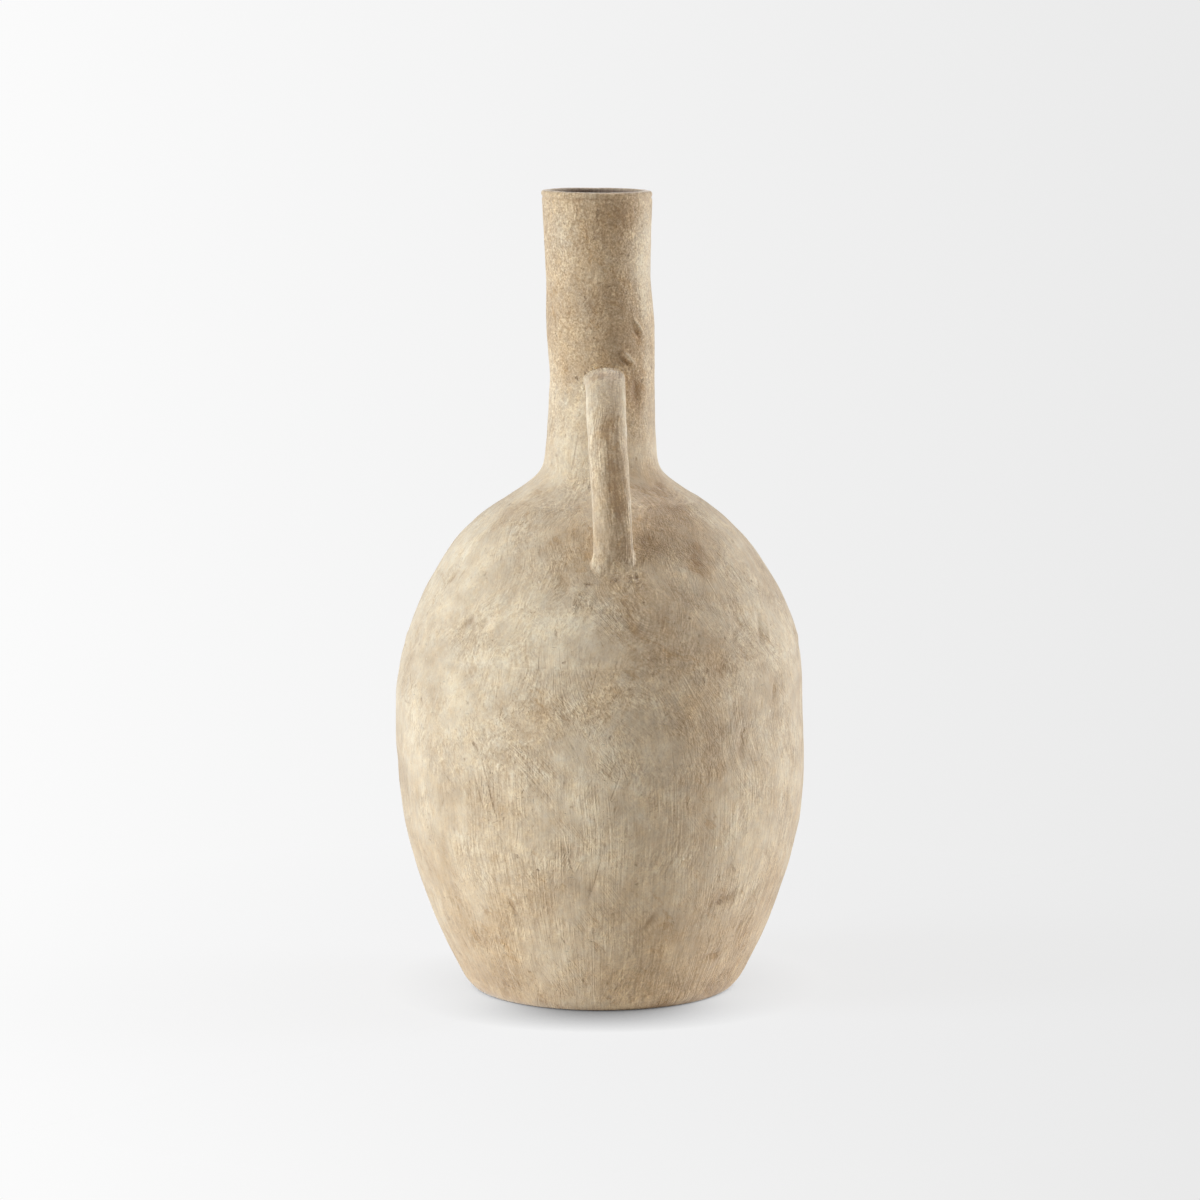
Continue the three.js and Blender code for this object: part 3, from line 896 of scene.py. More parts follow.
def buildNeck():
    # the outside up to the crest, the lip's inner quarter and the bore, then the spigot's outside
    angle = around(neckWall["columns"])[None, :]
    fine = outlineLength[-1] - 9
    coarseRows = rowsBetween(alongAt(pot["neckRoot"][1]), fine, neckWall["step"])
    fineRows = rowsBetween(fine, outlineLength[-1], neckWall["lipStep"])
    along = np.concatenate([coarseRows, fineRows[1:]])[:, None]
    outer, push = potSurface(angle, along + 0 * angle)
    lipRadius, lipFoot = pot["neck"][-1]
    lipRows = neckWall["lipRows"]
    turn = np.linspace(math.pi / 2, math.pi, lipRows + 1)[1:, None]
    square = 2 / pot["lipSquare"]
    middle = lipRadius - pot["neckWall"] / 2
    r = middle - pot["neckWall"] / 2 * np.abs(np.cos(turn)) ** square + 0 * angle
    z = lipFoot + pot["lipRound"] * np.clip(np.sin(turn), 0, 1) ** square + 0 * angle
    crest = outer[-1] - aboutAxis(angle[0], middle, pot["height"] + 0 * angle[0])
    fade = np.linspace(1, 0, lipRows)[:, None, None]
    innerLip = aboutAxis(angle, r, z) + fade * crest[None]
    near, far = np.linspace(lipFoot - 1.2, lipFoot - 60, 46), np.linspace(lipFoot - 64, seat, 18)
    boreHeights = np.concatenate([near, far])
    boreRadii = radiusAt(boreHeights) - pot["neckWall"]
    boreRadii = np.where(boreHeights < pot["neckRoot"][1], bore, boreRadii)
    inner = [
        insideSurface(angle, q, h, min(1, i / 6))
        for i, (q, h) in enumerate(zip(boreRadii, boreHeights))
    ]
    under = [insideSurface(angle, spigot, h, 0) for h in (seat, coilTop)]
    points = np.concatenate([outer, innerLip, *inner, *under])
    hidden = len(points) - len(outer)
    beyond = outlineLength[-1] + 1.2 * np.arange(1, hidden + 1)[:, None]
    allAlong = np.concatenate([along, beyond]) + 0 * angle
    pushed = np.concatenate([push, np.zeros((hidden, angle.size))])
    dark = [np.zeros(len(outer)), np.linspace(0.15, 1, lipRows), np.ones(hidden - lipRows)]
    dark = np.concatenate(dark)[:, None] + 0 * angle
    values = surfaceValues(points, angle + 0 * allAlong, allAlong, neckWall["drum"], pushed, dark)
    return makePiece("neckWall", points, values, seams={0: seamNormals(angle[0], along[0, 0])})


def strapLine():
    # the strap's middle line in the plane of the handle, out from the axis and up, with its
    # buried ends drawn straight on
    lean = math.radians(strap["footLean"])
    down = np.array([math.sin(lean), -math.cos(lean)])
    top, foot = np.array(strap["top"], float), np.array(strap["foot"], float)
    bend = bezier([top, top + (strap["reach"], 0), foot - strap["footRun"] * down, foot], 600)
    line = np.vstack([top - (strap["buried"][0], 0), bend, foot + strap["buried"][1] * down])
    length = np.concatenate([[0], np.cumsum(np.hypot(*np.diff(line, axis=0).T))])
    return line, length


strapPath, strapLengths = strapLine()


def strapSurface(along, turn, grown=0.0):
    # the strap's skin: a rounded section, softer on its left, carried along the middle line
    out = np.interp(along, strapLengths, strapPath[:, 0])
    up = np.interp(along, strapLengths, strapPath[:, 1])
    outAhead, upAhead = direction(along, strapLengths, strapPath, 1)
    size = np.hypot(outAhead, upAhead)
    outAhead, upAhead = outAhead / size, upAhead / size
    down = np.clip((strap["top"][1] - up) / (strap["top"][1] - strap["foot"][1]), 0, 1.2)
    look = {
        key: np.interp(down, strap["place"], strap[key])
        for key in ("width", "front", "back", "turned", "squareLeft", "squareRight", "askew")
    }
    c, s = np.cos(turn), np.sin(turn)
    right = 0.5 + 0.5 * np.tanh(3 * c)
    power = 2 / (look["squareLeft"] + (look["squareRight"] - look["squareLeft"]) * right)
    flat = np.stack([1.6 * c, 1.6 * s, along / 8 + 0 * turn], -1)
    uneven = 0.45 * cloud(flat * 4, 4, 11) + 0.22 * cloud(flat * 10, 4, 12)
    across = np.sign(c) * np.abs(c) ** power * (look["width"] / 2 + grown + uneven)
    thick = np.where(s > 0, look["front"], look["back"])
    through = np.sign(s) * np.abs(s) ** power * (thick + grown + uneven)
    a = np.radians(look["turned"])
    across, through = across * np.cos(a) - through * np.sin(a), through * np.cos(a) + across * np.sin(a)
    x = look["askew"] + across
    y = -(out - upAhead * through)
    z = up + outAhead * through
    return np.stack([x, y, z], -1), uneven


def strapValues(points, along, turn, push):
    # what the clay's material reads on the strap: strokes along it on a thin drum, leaning a little
    # one way and the other, and its brown and pale places, most of them painted shade and painted
    # highlight that follow how the lamps fall across its rounded section
    drum = strap["drum"]
    lean = 0.25 * along / drum
    flat, slanted, other = [
        np.stack([drum * np.cos(turn + by), drum * np.sin(turn + by), along], -1) for by in (0, lean, -lean)
    ]
    reached = along / strapLengths[-1]
    # painted shade down the front, a little right of its middle, where the light of neither lamp reaches
    worn = np.radians(98 - 28 * reached - 11 * bell(reached - 0.22, 0.14))
    broad = np.radians(24 + 12 * reached)
    aside = (turn - worn + math.pi) % (2 * math.pi) - math.pi
    brown = 2.1 * bell(aside, broad) * np.clip((reached - 0.13) * 4.5, 0.15, 1)
    # a tan band lies under the torn rim at the top
    brown += 1.9 * np.clip(np.sin(turn), 0, 1) ** 2 * bell(reached - 0.09, 0.035)
    # painted highlight down the right edge of its upper third, where the rim lamps catch it
    edge = bell(turn - 0.6, 0.25)
    brown += -1.4 * edge * np.clip((reached - 0.06) * 30, 0, 1) * np.clip((0.4 - reached) * 8, 0, 1)
    # all round it is a little paler below the band, and the front is browner from there on, as painted
    # shade where it faces between the lamps
    brown += -0.35 * bell(reached - 0.22, 0.07)
    brown += 0.5 * np.clip(np.sin(turn), 0, 1) * np.clip(6 * reached - 0.5, 0, 1)
    # and the left side is browner towards the foot: painted shade that tones down the key lamp's light
    # there
    brown += 1.0 * np.clip(-np.cos(turn), 0, 1) * np.clip(2.2 * reached - 0.9, 0, 1)
    return {
        "mark": np.full((*points.shape[:-1], 3), 9.0),
        "markHere": 0 * along,
        "crumb": 0.45 * bell(reached - 0.03, 0.045),
        "strokeUp": flat,
        "strokeLeft": slanted,
        "strokeRight": other,
        "stainAndShade": brown,
        # sunk places in the strap's skin are darkened the same way: painted shade
        "hollow": np.clip(-push, 0, 1),
        "inside": 0 * along,
    }


def buildStrap():
    turn = np.linspace(0, 2 * math.pi, strap["columns"], endpoint=False)[None, :]
    along = np.linspace(0.5, strapLengths[-1] - 0.5, strap["rows"])[:, None]
    points, push = strapSurface(along + 0 * turn, turn + 0 * along)
    values = strapValues(points, along + 0 * turn, turn + 0 * along, push)
    return makePiece("strapHandle", points, values, closeRows=False, capped=True)


luteMesh = {"columns": 264, "rows": 34}
# a collar's length along the strap and its reach over the wall, each at the strap's back, its sides,
# its front corners and its front, and the height of the bead of slip left along its edge
lutes = {
    "handleTopLute": {
        "end": "top",
        "length": (3, 3.2, 3.2, 3.2),
        "reach": (2.2, 1.5, 1.4, 1.5),
        "leftMore": 0,  # how much longer both are on the left, as a share
        "bead": 0.5,
        "beadAt": 0.66,
        "drum": 30,
    },
    "handleFootLute": {
        "end": "foot",
        "length": (10, 12.5, 7, 8),
        "reach": (3.2, 3.2, 1.3, 4.5),
        "leftMore": 2.2,
        "bead": 0.08,
        "beadAt": 0.6,
        "drum": 80,
    },
}


def outsideOfPot(points):
    # how far a point lies outside the plain outline, measured level from the axis
    z = points[..., 2]
    return np.hypot(points[..., 0] - wanderAt(z), points[..., 1]) - radiusAt(z)


def ontoWall(points):
    # the point of the real wall level with and in line with each point, and the wall's normal there
    z = points[..., 2]
    angle = angleOf(points)
    here, _ = potSurface(angle, alongAt(z))
    slope = (radiusAt(z + 1) - radiusAt(z - 1)) / 2
    normal = polar(angle, 1, -slope)
    return here, normal / np.linalg.norm(normal, axis=-1, keepdims=True)


def buildLute(name):
    # a collar of pressed clay: from the strap's skin it sweeps out on to the wall along a hollow
    # curve that leaves both at no angle, with a low bead near its outer edge
    look = lutes[name]
    turn = np.linspace(0, 2 * math.pi, luteMesh["columns"], endpoint=False)
    total = strapLengths[-1]
    fromTop = look["end"] == "top"
    tries = np.linspace(0.2, 40, 300) if fromTop else np.linspace(total - 0.2, total - 60, 420)
    skin, _ = strapSurface(tries[:, None] + 0 * turn, turn + 0 * tries[:, None])
    off = outsideOfPot(skin)
    first = np.maximum(np.argmax(off > 0, axis=0), 1)
    column = np.arange(len(turn))
    before, after = off[first - 1, column], off[first, column]
    share = np.clip(-before / (after - before), 0, 1)
    meets = tries[first - 1] + share * (tries[first] - tries[first - 1])
    way = 1 if fromTop else -1
    parts = (-1, -0.05, 0.6, 1)  # sine of the turn at each of the four places
    leftMore = 1 + look["leftMore"] * np.clip(-np.cos(turn), 0, 1) * np.clip(np.sin(turn) + 0.3, 0, 1)
    length = np.interp(np.sin(turn), parts, look["length"]) * leftMore**0.5
    root, _ = strapSurface(meets, turn)
    start, _ = strapSurface(meets + way * length, turn, -0.2)
    towards, _ = strapSurface(meets + way * (length - 1), turn, -0.2)
    towards = towards - start
    towards /= np.linalg.norm(towards, axis=-1, keepdims=True)
    wider, _ = strapSurface(meets, turn, 1.0)
    out = wider - root
    _, normal = ontoWall(root)
    out -= np.sum(out * normal, -1, keepdims=True) * normal
    out /= np.linalg.norm(out, axis=-1, keepdims=True)
    ring = np.stack([20 * np.cos(turn), 20 * np.sin(turn), 0 * turn], -1)
    reach = np.interp(np.sin(turn), parts, look["reach"])
    reach = (reach * leftMore * (1 + 0.5 * cloud(ring, 12, 14)))[:, None]
    end, endNormal = ontoWall(root + out * reach)
    end = end - 0.25 * endNormal
    t = np.linspace(0, 1, luteMesh["rows"])[:, None, None]
    firstPull = start + towards * 0.6 * length[:, None]
    lastPull = end - out * 0.6 * reach
    sweep = (1 - t) ** 3 * start + 3 * (1 - t) ** 2 * t * firstPull
    sweep = sweep + 3 * (1 - t) * t**2 * lastPull + t**3 * end
    lumps = 0.6 + 0.8 * cloud(ring, 9, 15)
    bead = look["bead"] * lumps * bell(t[..., 0] - look["beadAt"], 0.15)
    sweep = sweep + bead[..., None] * endNormal
    sunk = end - 1.0 * endNormal
    deep, _ = strapSurface(meets - way * 1.0, turn, -1.5)
    back, _ = strapSurface(meets + way * length, turn, -1.2)
    points = np.concatenate([sweep, sunk[None], deep[None], back[None]])
    z = points[..., 2]
    values = surfaceValues(points, angleOf(points), alongAt(z), look["drum"], 0 * z, 0 * z)
    fade = np.concatenate([1 - t[:, :, 0], np.zeros((3, 1))]) ** 1.5
    along = meets[None] + way * length * fade
    strapStainAndShade = strapValues(points, along, turn[None] + 0 * along, 0 * along)["stainAndShade"]
    # the bead is drawn paler: pale slip with a painted highlight along it; near the strap the collar takes
    # on the strap's colour, painted shade and highlight included
    pale = np.concatenate([bead, np.zeros((3, len(turn)))])
    values["stainAndShade"] = values["stainAndShade"] * (1 - fade) + strapStainAndShade * fade - 1.6 * pale
    return makePiece(name, points, values)


print("walls")
pieces = {
    "floor_slab": buildFloor(),
    "belly_wall": buildBelly(),
    "shoulder_dome": buildDome(),
    "neck_coil": buildCoil(),
    "neck": buildNeck(),
}
print("handle")
pieces["handle"] = buildStrap()
pieces["handle_top_lute"] = buildLute("handleTopLute")
pieces["handle_foot_lute"] = buildLute("handleFootLute")

slip = {
    "clay": (0.676, 0.556, 0.376),  # middle of the range of browns and creams, as a linear colour
    "tint": (0.79, 1.0, 1.2),  # how strongly each channel darkens where the slip thins
    "warm": (0.2, 0, -0.32),  # how each channel shifts where the clay fired redder
    "cool": (-0.03, 0, 0.16),  # and where the slip dried whiter
    "range": (-0.62, 0.34),  # darkest and palest tone, as powers of e
    "roughness": 0.92,
    "gloss": 0.25,
    "chalk": 0.6,  # how rough the clay is to light that it scatters
    "dust": 0.35,  # and how much it lightens where it turns away
    "dustRoughness": 0.5,
    "insideColour": (0.25, 0.19, 0.145),
}


class Sheet:
    # a node tree that is filled in from left to right
    def __init__(self, tree):
        self.tree = tree
        self.count = 0

    def node(self, kind, inputs=None, **settings):
        made = self.tree.nodes.new(kind)
        made.location = (220 * (self.count % 12), -260 * (self.count // 12))
        self.count += 1
        for key, value in settings.items():
            setattr(made, key, value)
        for key, value in (inputs or {}).items():
            if isinstance(value, bpy.types.NodeSocket):
                self.tree.links.new(value, made.inputs[key])
            else:
                made.inputs[key].default_value = value
        return made

    def math(self, operation, a, b=0.0, c=0.0):
        return self.node("ShaderNodeMath", {0: a, 1: b, 2: c}, operation=operation).outputs[0]

    def product(self, a, b):
        return self.math("MULTIPLY", a, b)

    def mulAdd(self, value, by, plus):
        return self.math("MULTIPLY_ADD", value, by, plus)

    def ramp(self, value, start, end, low=0.0, high=1.0):
        # low up to start, high from end on, and even in between
        ends = {0: value, 1: start, 2: end, 3: low, 4: high}
        return self.node("ShaderNodeMapRange", ends, clamp=True).outputs[0]

    def vector(self, operation, a, b):
        return self.node("ShaderNodeVectorMath", {0: a, 1: b}, operation=operation).outputs[0]

    def scaled(self, vector, by):
        return self.vector("MULTIPLY", vector, by)

    def times(self, vector, factor):
        # a vector times a single number
        return self.node("ShaderNodeVectorMath", {0: vector, "Scale": factor}, operation="SCALE").outputs[0]

    def dot(self, vector, way):
        made = self.node("ShaderNodeVectorMath", {0: vector, 1: way}, operation="DOT_PRODUCT")
        return made.outputs["Value"]

    def noise(self, vector, size, detail=2.0, rough=0.5, stretch=(1, 1, 1)):
        # centred on nought; size is the width in mm of one blotch
        squeezed = self.scaled(vector, tuple(s / size for s in stretch))
        inputs = {"Vector": squeezed, "Scale": 1.0, "Detail": detail, "Roughness": rough}
        return self.math("SUBTRACT", self.node("ShaderNodeTexNoise", inputs).outputs["Fac"], 0.5)

    def attribute(self, name):
        return self.node("ShaderNodeAttribute", attribute_name=name)

    def sum(self, terms):
        total = None
        for value, weight in terms:
            total = self.mulAdd(value, weight, 0.0 if total is None else total)
        return total


def toneColour(tone):
    return tuple(c * math.exp(tone * t) for c, t in zip(slip["clay"], slip["tint"]))


# the patterns in the clay: width in mm of one blotch, layers of finer ones, how strong those are, and
# how its axes are squeezed
patterns = {
    "busy": (28, 2.0),
    "wide": (46, 1.0),
    "patch": (19, 3.0, 0.6),
    "blot": (7.5, 3.0, 0.65, (1, 1, 0.6)),
    "smear": (3.2, 3.0, 0.65, (1, 1, 0.5)),
    "scuff": (11, 6.0, 0.75, (1, 1, 0.7)),
    "chooser": (24, 1.0),
    "grain": (1.1, 2.0, 0.7),
    "stipple": (2.0, 2.0, 0.7),
    "warm": (7, 5.0, 0.8),
    "cool": (5, 5.0, 0.8),
    "crumble": (1.7, 3.0, 0.8),
    "streak": (2.2, 3.0, 0.7, (1, 1, 0.2)),
}
# where on the pot its look changes, in mm: from the first to the second height, or distance to the side
changes = {
    "freer": (140.0, 220.0),
    "combed": (225.0, 150.0),
    "coarse": (300.0, 350.0),
    "lowDown": (190.0, 30.0),
    "smoothed": (-45.0, -100.0),
}


def clayMaterial(name, look):
    material = bpy.data.materials.new(name)
    material.use_nodes = True
    sheet = Sheet(material.node_tree)
    product, mulAdd = sheet.product, sheet.mulAdd
    shader = material.node_tree.nodes["Principled BSDF"]
    place = sheet.scaled(sheet.node("ShaderNodeTexCoord").outputs["Object"], (1 / mm,) * 3)
    strokes = [sheet.attribute(key).outputs["Vector"] for key in ("strokeUp", "strokeLeft", "strokeRight")]
    stainAndShade, hollow, crumb, inside = [
        sheet.attribute(key).outputs["Fac"] for key in ("stainAndShade", "hollow", "crumb", "inside")
    ]

    # the strokes wander: a slow noise pushes their drums about, so that the brush fans and turns.
    # Low on the pot they run straighter
    asideHere, _, heightHere = sheet.node("ShaderNodeSeparateXYZ", {0: place}).outputs
    free = sheet.ramp(heightHere, *changes["freer"], 0.12, 1.0)
    slowly = sheet.scaled(place, (1 / look["driftSize"],) * 3)
    slow = sheet.node("ShaderNodeTexNoise", {"Vector": slowly, "Scale": 1.0, "Detail": 1.0})
    drift = sheet.scaled(slow.outputs["Color"], (look["drift"], look["drift"], look["drift"] / 4))
    drift = sheet.times(drift, free)
    strokes = [sheet.vector("ADD", way, drift) for way in strokes]

    # how busy the surface is: brown places are rough, some pale ones were smoothed over, and the left
    # side was gone over once more
    smoothed = sheet.ramp(asideHere, *changes["smoothed"], 1.0, 0.7)
    busy = sheet.sum([(sheet.noise(place, *patterns["busy"]), 3.5), (stainAndShade, 0.25), (smoothed, 1.0)])
    busy = sheet.math("MINIMUM", sheet.math("MAXIMUM", busy, 0.45), 1.7)
    # the neck is stippled, the body brushed
    coarse = product(sheet.ramp(heightHere, *changes["coarse"]), look["coarse"])

    wide = sheet.noise(place, *patterns["wide"])
    patch = sheet.noise(place, *patterns["patch"])
    blot = product(sheet.noise(strokes[0], *patterns["blot"]), mulAdd(coarse, -0.3, smoothed))
    smear = product(sheet.noise(strokes[1], *patterns["smear"]), mulAdd(coarse, -0.3, busy))
    scuffed = sheet.noise(strokes[2], *patterns["scuff"])
    scuffed = sheet.sum([(scuffed, 1.0), (stainAndShade, 0.05), (patch, -0.25)])
    scuff = sheet.ramp(scuffed, 0.12, 0.18)

    hatches = []
    for vector, size, short in zip(strokes, look["hatchSizes"], look["hatchShort"]):
        hatches.append(sheet.noise(vector, size, 2.0, 0.65, (1, 1, short)))
    chooser = sheet.noise(place, *patterns["chooser"])
    # the long upright strokes of the brush run up to the shoulder and stop there, and above it they
    # lean to the left or the right by turns
    upright = product(hatches[0], sheet.ramp(heightHere, *changes["combed"], 0.75, 1.0))
    leftOnes = product(hatches[1], sheet.ramp(chooser, 0.0, 0.14, 0.0, 0.9))
    rightOnes = product(hatches[2], sheet.ramp(chooser, 0.0, -0.14, 0.0, 0.9))
    hatch = sheet.math("ADD", upright, sheet.math("ADD", leftOnes, rightOnes))
    hatch = product(hatch, product(busy, mulAdd(coarse, -0.5, 1.0)))
    grain = product(sheet.noise(place, *patterns["grain"]), mulAdd(coarse, 1.9, busy))
    stipple = sheet.noise(place, *patterns["stipple"])
    speck = sheet.ramp(stipple, -0.16, -0.25)
    stipple = product(stipple, mulAdd(coarse, 2.2, busy))
    # redder where rubbed, scuffed or crumbly, towards the foot and up the neck
    rubbed = sheet.ramp(stainAndShade, 0.0, 1.2, 0.0, look["rubbed"])
    lowDown = sheet.ramp(heightHere, *changes["lowDown"], 0.0, 0.15)
    warm = sheet.noise(place, *patterns["warm"])
    warm = sheet.sum([(warm, 1.0), (busy, 0.05), (scuff, 0.2), (coarse, 0.06), (crumb, 0.2), (1.0, -0.05)])
    warm = sheet.math("ADD", warm, sheet.math("ADD", rubbed, lowDown))
    cool = sheet.noise(sheet.scaled(place, (1, 1, -1)), *patterns["cool"])
    # a thin pale line wherever the upright or the leaning strokes pass through nought
    strand = sheet.math("ABSOLUTE", sheet.math("ADD", hatches[0], product(hatches[1], 0.5)))
    line = product(sheet.ramp(strand, 0.035, 0.0), sheet.math("MAXIMUM", mulAdd(blot, 5.0, 0.5), 0.0))
    # a small mark is highest at its middle and gone at twice its half size
    nearest = sheet.attribute("mark").outputs["Vector"]
    across, up, tall = sheet.node("ShaderNodeSeparateXYZ", {0: nearest}).outputs
    spread = mulAdd(across, across, product(up, up))
    spread = sheet.math("ADD", spread, product(grain, 4.0))
    rise = sheet.math("MAXIMUM", mulAdd(spread, -0.25, 1.0), 0.0)
    rise = product(product(rise, rise), sheet.attribute("markHere").outputs["Fac"])
    # its tone follows its height: painted shade in a sunken mark, a painted highlight on a raised one
    mark = product(sheet.math("MINIMUM", rise, 1.2), tall)
    crumbly = product(crumb, sheet.math("ADD", sheet.noise(place, *patterns["crumble"]), -0.02))

    layers = {
        "wide": wide,
        "patch": patch,
        "blot": blot,
        "smear": smear,
        "hatch": hatch,
        "grain": grain,
        "stipple": stipple,
        "speck": speck,
        "scuff": scuff,
        "stainAndShade": stainAndShade,
        "hollow": hollow,
        "line": line,
        "mark": mark,
        "crumb": crumbly,
    }
    low, high = slip["range"]
    tone = sheet.sum([(value, look["tones"][key]) for key, value in layers.items()])
    tone = sheet.math("ADD", tone, look["lift"])
    ramp = sheet.node("ShaderNodeValToRGB", {"Fac": sheet.ramp(tone, low, high)})
    stops = np.linspace(low, high, 6)
    ramp.color_ramp.elements[0].color = (*toneColour(low), 1)
    ramp.color_ramp.elements[1].color = (*toneColour(high), 1)
    for stop in stops[1:-1]:
        ramp.color_ramp.elements.new((stop - low) / (high - low)).color = (*toneColour(stop), 1)
    shift = sheet.vector("ADD", sheet.times(slip["warm"], warm), sheet.times(slip["cool"], cool))
    outer = sheet.scaled(ramp.outputs["Color"], sheet.vector("ADD", shift, (1, 1, 1)))
    streak = sheet.noise(strokes[0], *patterns["streak"])
    inner = sheet.times(slip["insideColour"], mulAdd(streak, 3.0, 1.0))
    # a mix node has a socket A and B for each kind of value: 6 and 7 are the colour ones
    colour = sheet.node("ShaderNodeMix", {0: inside, 6: outer, 7: inner}, data_type="RGBA").outputs[2]
    material.node_tree.links.new(colour, shader.inputs["Base Color"])

    height = sheet.sum([(layers[key], deep) for key, deep in look["depths"].items()])
    bump = sheet.node("ShaderNodeBump", {"Height": height, "Strength": 1.0, "Distance": mm})
    material.node_tree.links.new(bump.outputs["Normal"], shader.inputs["Normal"])
    shader.inputs["Roughness"].default_value = slip["roughness"]
    shader.inputs["Specular IOR Level"].default_value = slip["gloss"]
    shader.inputs["Diffuse Roughness"].default_value = slip["chalk"]
    shader.inputs["Sheen Weight"].default_value = slip["dust"]
    shader.inputs["Sheen Roughness"].default_value = slip["dustRoughness"]
    return material


# tones: how far each pattern moves the tone, with a minus for browner. Depths: how high it stands in mm
bodyLook = {
    "hatchSizes": (1.0, 0.9, 0.95),  # width in mm of the upright strokes and of those that lean
    "hatchShort": (0.035, 0.09, 0.09),  # and their width over their length
    "drift": 44,  # how far in mm the strokes wander
    "driftSize": 48,
    "coarse": 1.0,  # how much coarser the neck is than the body
    "rubbed": 0.2,  # how much redder it is where it is brownest
    "lift": 0.045,
    "tones": {
        "wide": 0.4,
        "patch": 0.48,
        "blot": 0.5,
        "smear": 0.42,
        "hatch": 0.78,
        "grain": 0.5,
        "stipple": 0.3,
        "speck": -0.3,
        "scuff": -0.15,
        "stainAndShade": -0.17,
        # painted shade, darker the deeper a point lies in a dent
        "hollow": -0.26,
        "line": 0.12,
        # painted shade in sunken marks and a painted highlight on raised ones
        "mark": 0.5,
        "crumb": 2.0,
    },
    "depths": {
        "hatch": 0.42,
        "grain": 0.14,
        "stipple": 0.12,
        "smear": 0.26,
        "blot": 0.35,
        "scuff": -0.12,
        "mark": 0.5,
        "crumb": 3.0,
    },
}
strapTones = {"hatch": 1.1, "grain": 0.8, "wide": 0.2, "patch": 0.25, "scuff": -0.14}
strapLook = {
    **bodyLook,
    "drift": 8,
    "coarse": 0.0,
    "rubbed": 0.12,
    "lift": 0.07,
    "tones": {**bodyLook["tones"], **strapTones},
}

clays = {
    "body": clayMaterial("brushedSlip", bodyLook),
    "strap": clayMaterial("smoothedSlip", strapLook),
}
finishes = {
    "floor_slab": ("body", "clay_body"),
    "belly_wall": ("body", "clay_body"),
    "shoulder_dome": ("body", "clay_body"),
    "neck_coil": ("body", "clay_body"),
    "neck": ("body", "clay_body"),
    "handle": ("strap", "handle_clay"),
    "handle_top_lute": ("strap", "lute_slip"),
    "handle_foot_lute": ("strap", "lute_slip"),
}
for nodeName, piece in pieces.items():
    clay, slotName = finishes[nodeName]
    piece.data.materials.append(clays[clay])
    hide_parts(nodeName)
print("clay")

# lamps: name, degrees round from the camera, degrees up, apparent width, strength and colour
lamps = [
    ("key", -75, 20, 25, 3.5, (0.935, 1.0, 1.12)),
    ("rim", 100, 15, 25, 2.7, (0.97, 1.0, 1.09)),
    ("rimBack", 115, 15, 25, 0.9, (0.97, 1.0, 1.09)),
]

studio = {
    "paper": (0.965, 0.888, 0.823),  # the backdrop's grey at the left, the middle and the right
    "paperWidth": 0.26,  # width of the picture over the distance to it
    "sky": 0.15,
    "bounce": 0.85,  # how much of the lamps' light the paper gives back to the clay
    "skyColour": (1.02, 0.77, 0.56),
    "castShadow": 0.08,  # share of the lamps' own shadows in the paper that the camera sees
    "castReach": (150, 450),  # it fades to none between these distances from the axis
    # the clay's painted shadow on the paper, in the glow that the camera sees
    "shadeReach": 45,  # how far the clay darkens the paper beside it
    "shadeDepth": (0.1, 1.1),  # how deeply, away from the camera's side and on it
}


def placeCamera():
    data = bpy.data.cameras.new("camera")
    data.lens = camera["lens"]
    data.sensor_width = camera["sensor"]
    data.clip_start, data.clip_end = 0.1, 100
    seen = bpy.data.objects.new("camera", data)
    bpy.context.collection.objects.link(seen)
    turn = math.radians(camera["azimuth"])
    ahead = Vector((-math.sin(turn), math.cos(turn), 0))
    aside = Vector((math.cos(turn), math.sin(turn), 0))
    spot = aside * camera["aside"] - ahead * camera["distance"] + Vector((0, 0, camera["height"]))
    seen.location = spot * mm
    seen.rotation_euler = (math.radians(90 - camera["pitch"]), 0, turn)
    bpy.context.scene.camera = seen


def addLamp(name, turn, up, width, strength, colour):
    data = bpy.data.lights.new(name, "SUN")
    data.energy = strength
    data.color = colour
    data.angle = math.radians(width)
    lamp = bpy.data.objects.new(name, data)
    bpy.context.collection.objects.link(lamp)
    a, e = math.radians(turn + camera["azimuth"]), math.radians(up)
    back = Vector((math.sin(a) * math.cos(e), -math.cos(a) * math.cos(e), math.sin(e)))
    lamp.rotation_mode = "QUATERNION"
    lamp.rotation_quaternion = back.to_track_quat("Z", "Y")
    return lamp


def paperRamp(sheet, share):
    ramp = sheet.node("ShaderNodeValToRGB", {"Fac": share})
    left, middle, right = studio["paper"]
    ramp.color_ramp.elements[0].color = (left, left, left, 1)
    ramp.color_ramp.elements[1].color = (right, right, right, 1)
    ramp.color_ramp.elements.new(0.5).color = (middle, middle, middle, 1)
    return ramp.outputs["Color"]


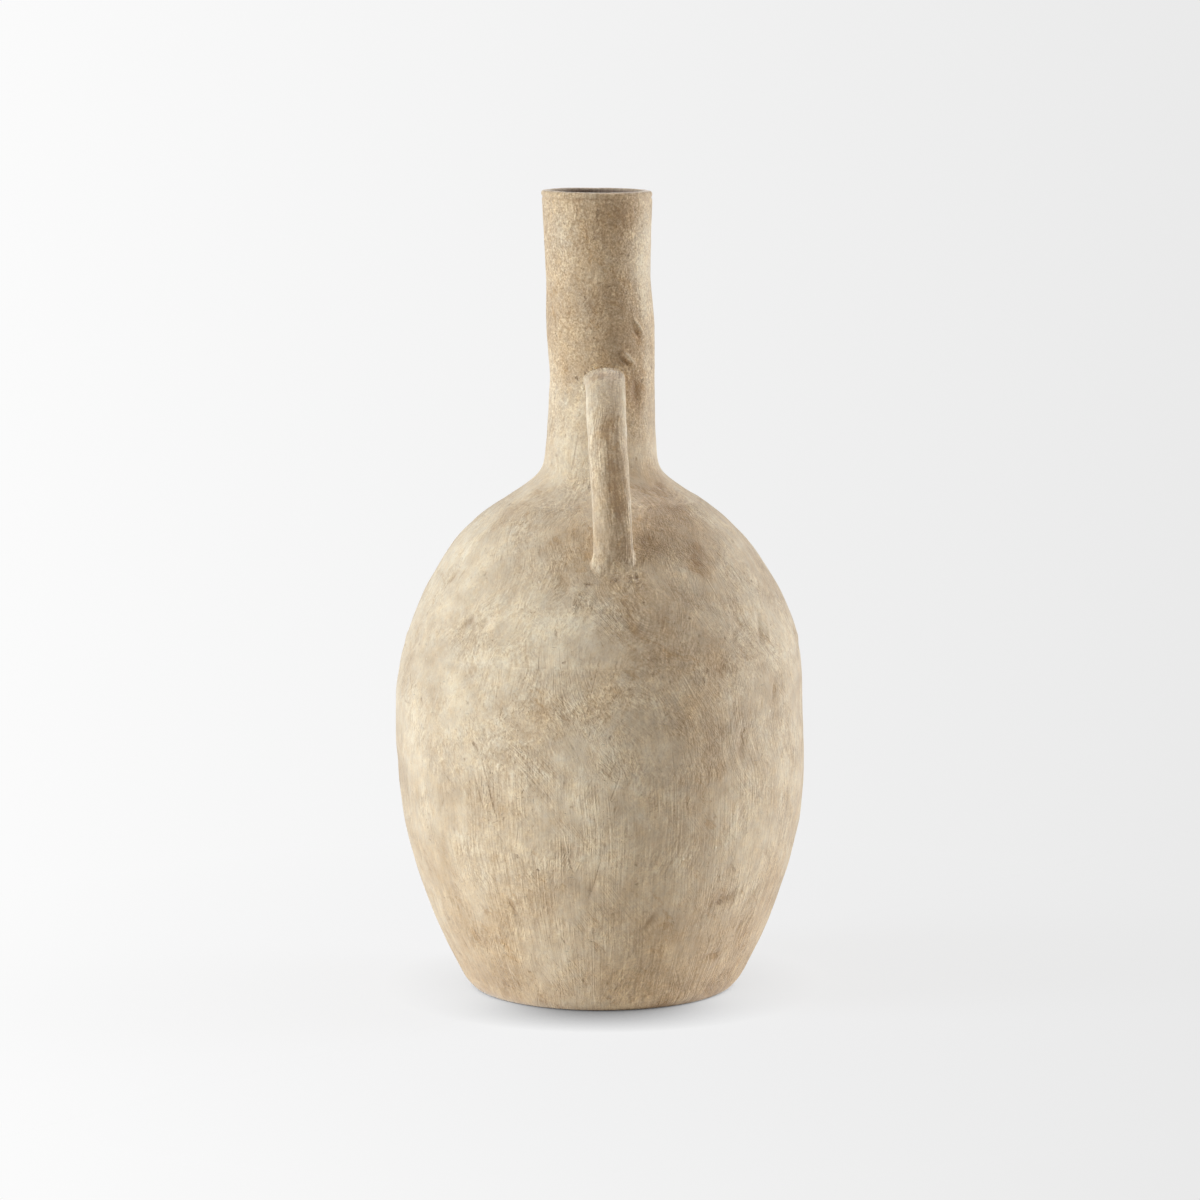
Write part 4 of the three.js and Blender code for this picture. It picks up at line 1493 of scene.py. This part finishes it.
def floorAndSky():
    # a wide sheet of paper; its paint and the sky's go from light at the picture's left to darker at
    # its right alike, painted light falling off across the backdrop, by the distance to the right of
    # the camera's middle over the depth
    turn = math.radians(camera["azimuth"])
    aside = (math.cos(turn), math.sin(turn), 0)
    ahead = (-math.sin(turn), math.cos(turn), 0)
    points = 30 * np.array([(-1, -1, 0), (1, -1, 0), (1, 1, 0), (-1, 1, 0)], float)
    mesh = bpy.data.meshes.new("paper")
    mesh.from_pydata(points.tolist(), [], [(0, 1, 2, 3)])
    paper = bpy.data.objects.new("paper", mesh)
    bpy.context.collection.objects.link(paper)
    material = bpy.data.materials.new("paper")
    material.use_nodes = True
    tree = material.node_tree
    sheet = Sheet(tree)
    shader = tree.nodes["Principled BSDF"]
    place = sheet.node("ShaderNodeTexCoord").outputs["Object"]
    right = sheet.dot(place, aside)
    away = sheet.dot(place, ahead)
    depth = sheet.math("MAXIMUM", sheet.math("ADD", away, camera["distance"] * mm), 0.2)
    share = sheet.mulAdd(sheet.math("DIVIDE", right, depth), 1 / studio["paperWidth"], 0.5)
    colour = paperRamp(sheet, share)
    shader.inputs["Base Color"].default_value = (*[studio["bounce"]] * 3, 1)
    shader.inputs["Roughness"].default_value = 1.0
    shader.inputs["Specular IOR Level"].default_value = 0.0
    reach = {"Distance": studio["shadeReach"] * mm}
    openness = sheet.node("ShaderNodeAmbientOcclusion", reach, samples=6).outputs["AO"]
    # a painted shadow: the lamps stand at the sides, so the clay's occlusion darkens the paper's glow most
    # in
    # front: the cosine round from there, to the fifth power, goes into the depth
    off = sheet.node("ShaderNodeVectorMath", {0: place}, operation="LENGTH").outputs["Value"]
    facing = sheet.math("MAXIMUM", sheet.math("DIVIDE", sheet.product(away, -1.0), off), 0.0)
    least, most = studio["shadeDepth"]
    deep = sheet.mulAdd(sheet.math("POWER", facing, 5.0), most - least, least)
    shade = sheet.math("POWER", openness, deep)
    seen = sheet.times(colour, shade)
    glow = sheet.node("ShaderNodeEmission", {"Color": seen, "Strength": 1.0}).outputs[0]
    ray = sheet.node("ShaderNodeLightPath").outputs["Is Camera Ray"]
    near, far = studio["castReach"]
    painted = sheet.product(ray, sheet.ramp(off, near * mm, far * mm, 1 - studio["castShadow"], 1.0))
    mixed = sheet.node("ShaderNodeMixShader", {0: painted, 1: shader.outputs[0], 2: glow})
    tree.links.new(mixed.outputs[0], tree.nodes["Material Output"].inputs["Surface"])
    mesh.materials.append(material)

    world = bpy.data.worlds.new("sky")
    world.use_nodes = True
    bpy.context.scene.world = world
    tree = world.node_tree
    sheet = Sheet(tree)
    place = sheet.node("ShaderNodeTexCoord").outputs["Generated"]
    right = sheet.dot(place, aside)
    away = sheet.dot(place, ahead)
    depth = sheet.math("MAXIMUM", away, 0.05)
    share = sheet.mulAdd(sheet.math("DIVIDE", right, depth), 1 / studio["paperWidth"], 0.5)
    backdrop = {"Color": paperRamp(sheet, share), "Strength": 1.0}
    seen = sheet.node("ShaderNodeBackground", backdrop).outputs[0]
    lit = tree.nodes["Background"]
    lit.inputs["Color"].default_value = (*studio["skyColour"], 1)
    lit.inputs["Strength"].default_value = studio["sky"]
    ray = sheet.node("ShaderNodeLightPath").outputs["Is Camera Ray"]
    mixed = sheet.node("ShaderNodeMixShader", {0: ray, 1: lit.outputs[0], 2: seen})
    tree.links.new(mixed.outputs[0], tree.nodes["World Output"].inputs["Surface"])


placeCamera()
for lampLook in lamps:
    addLamp(*lampLook)
floorAndSky()
bpy.context.scene.view_settings.view_transform = "Standard"
print("studio")
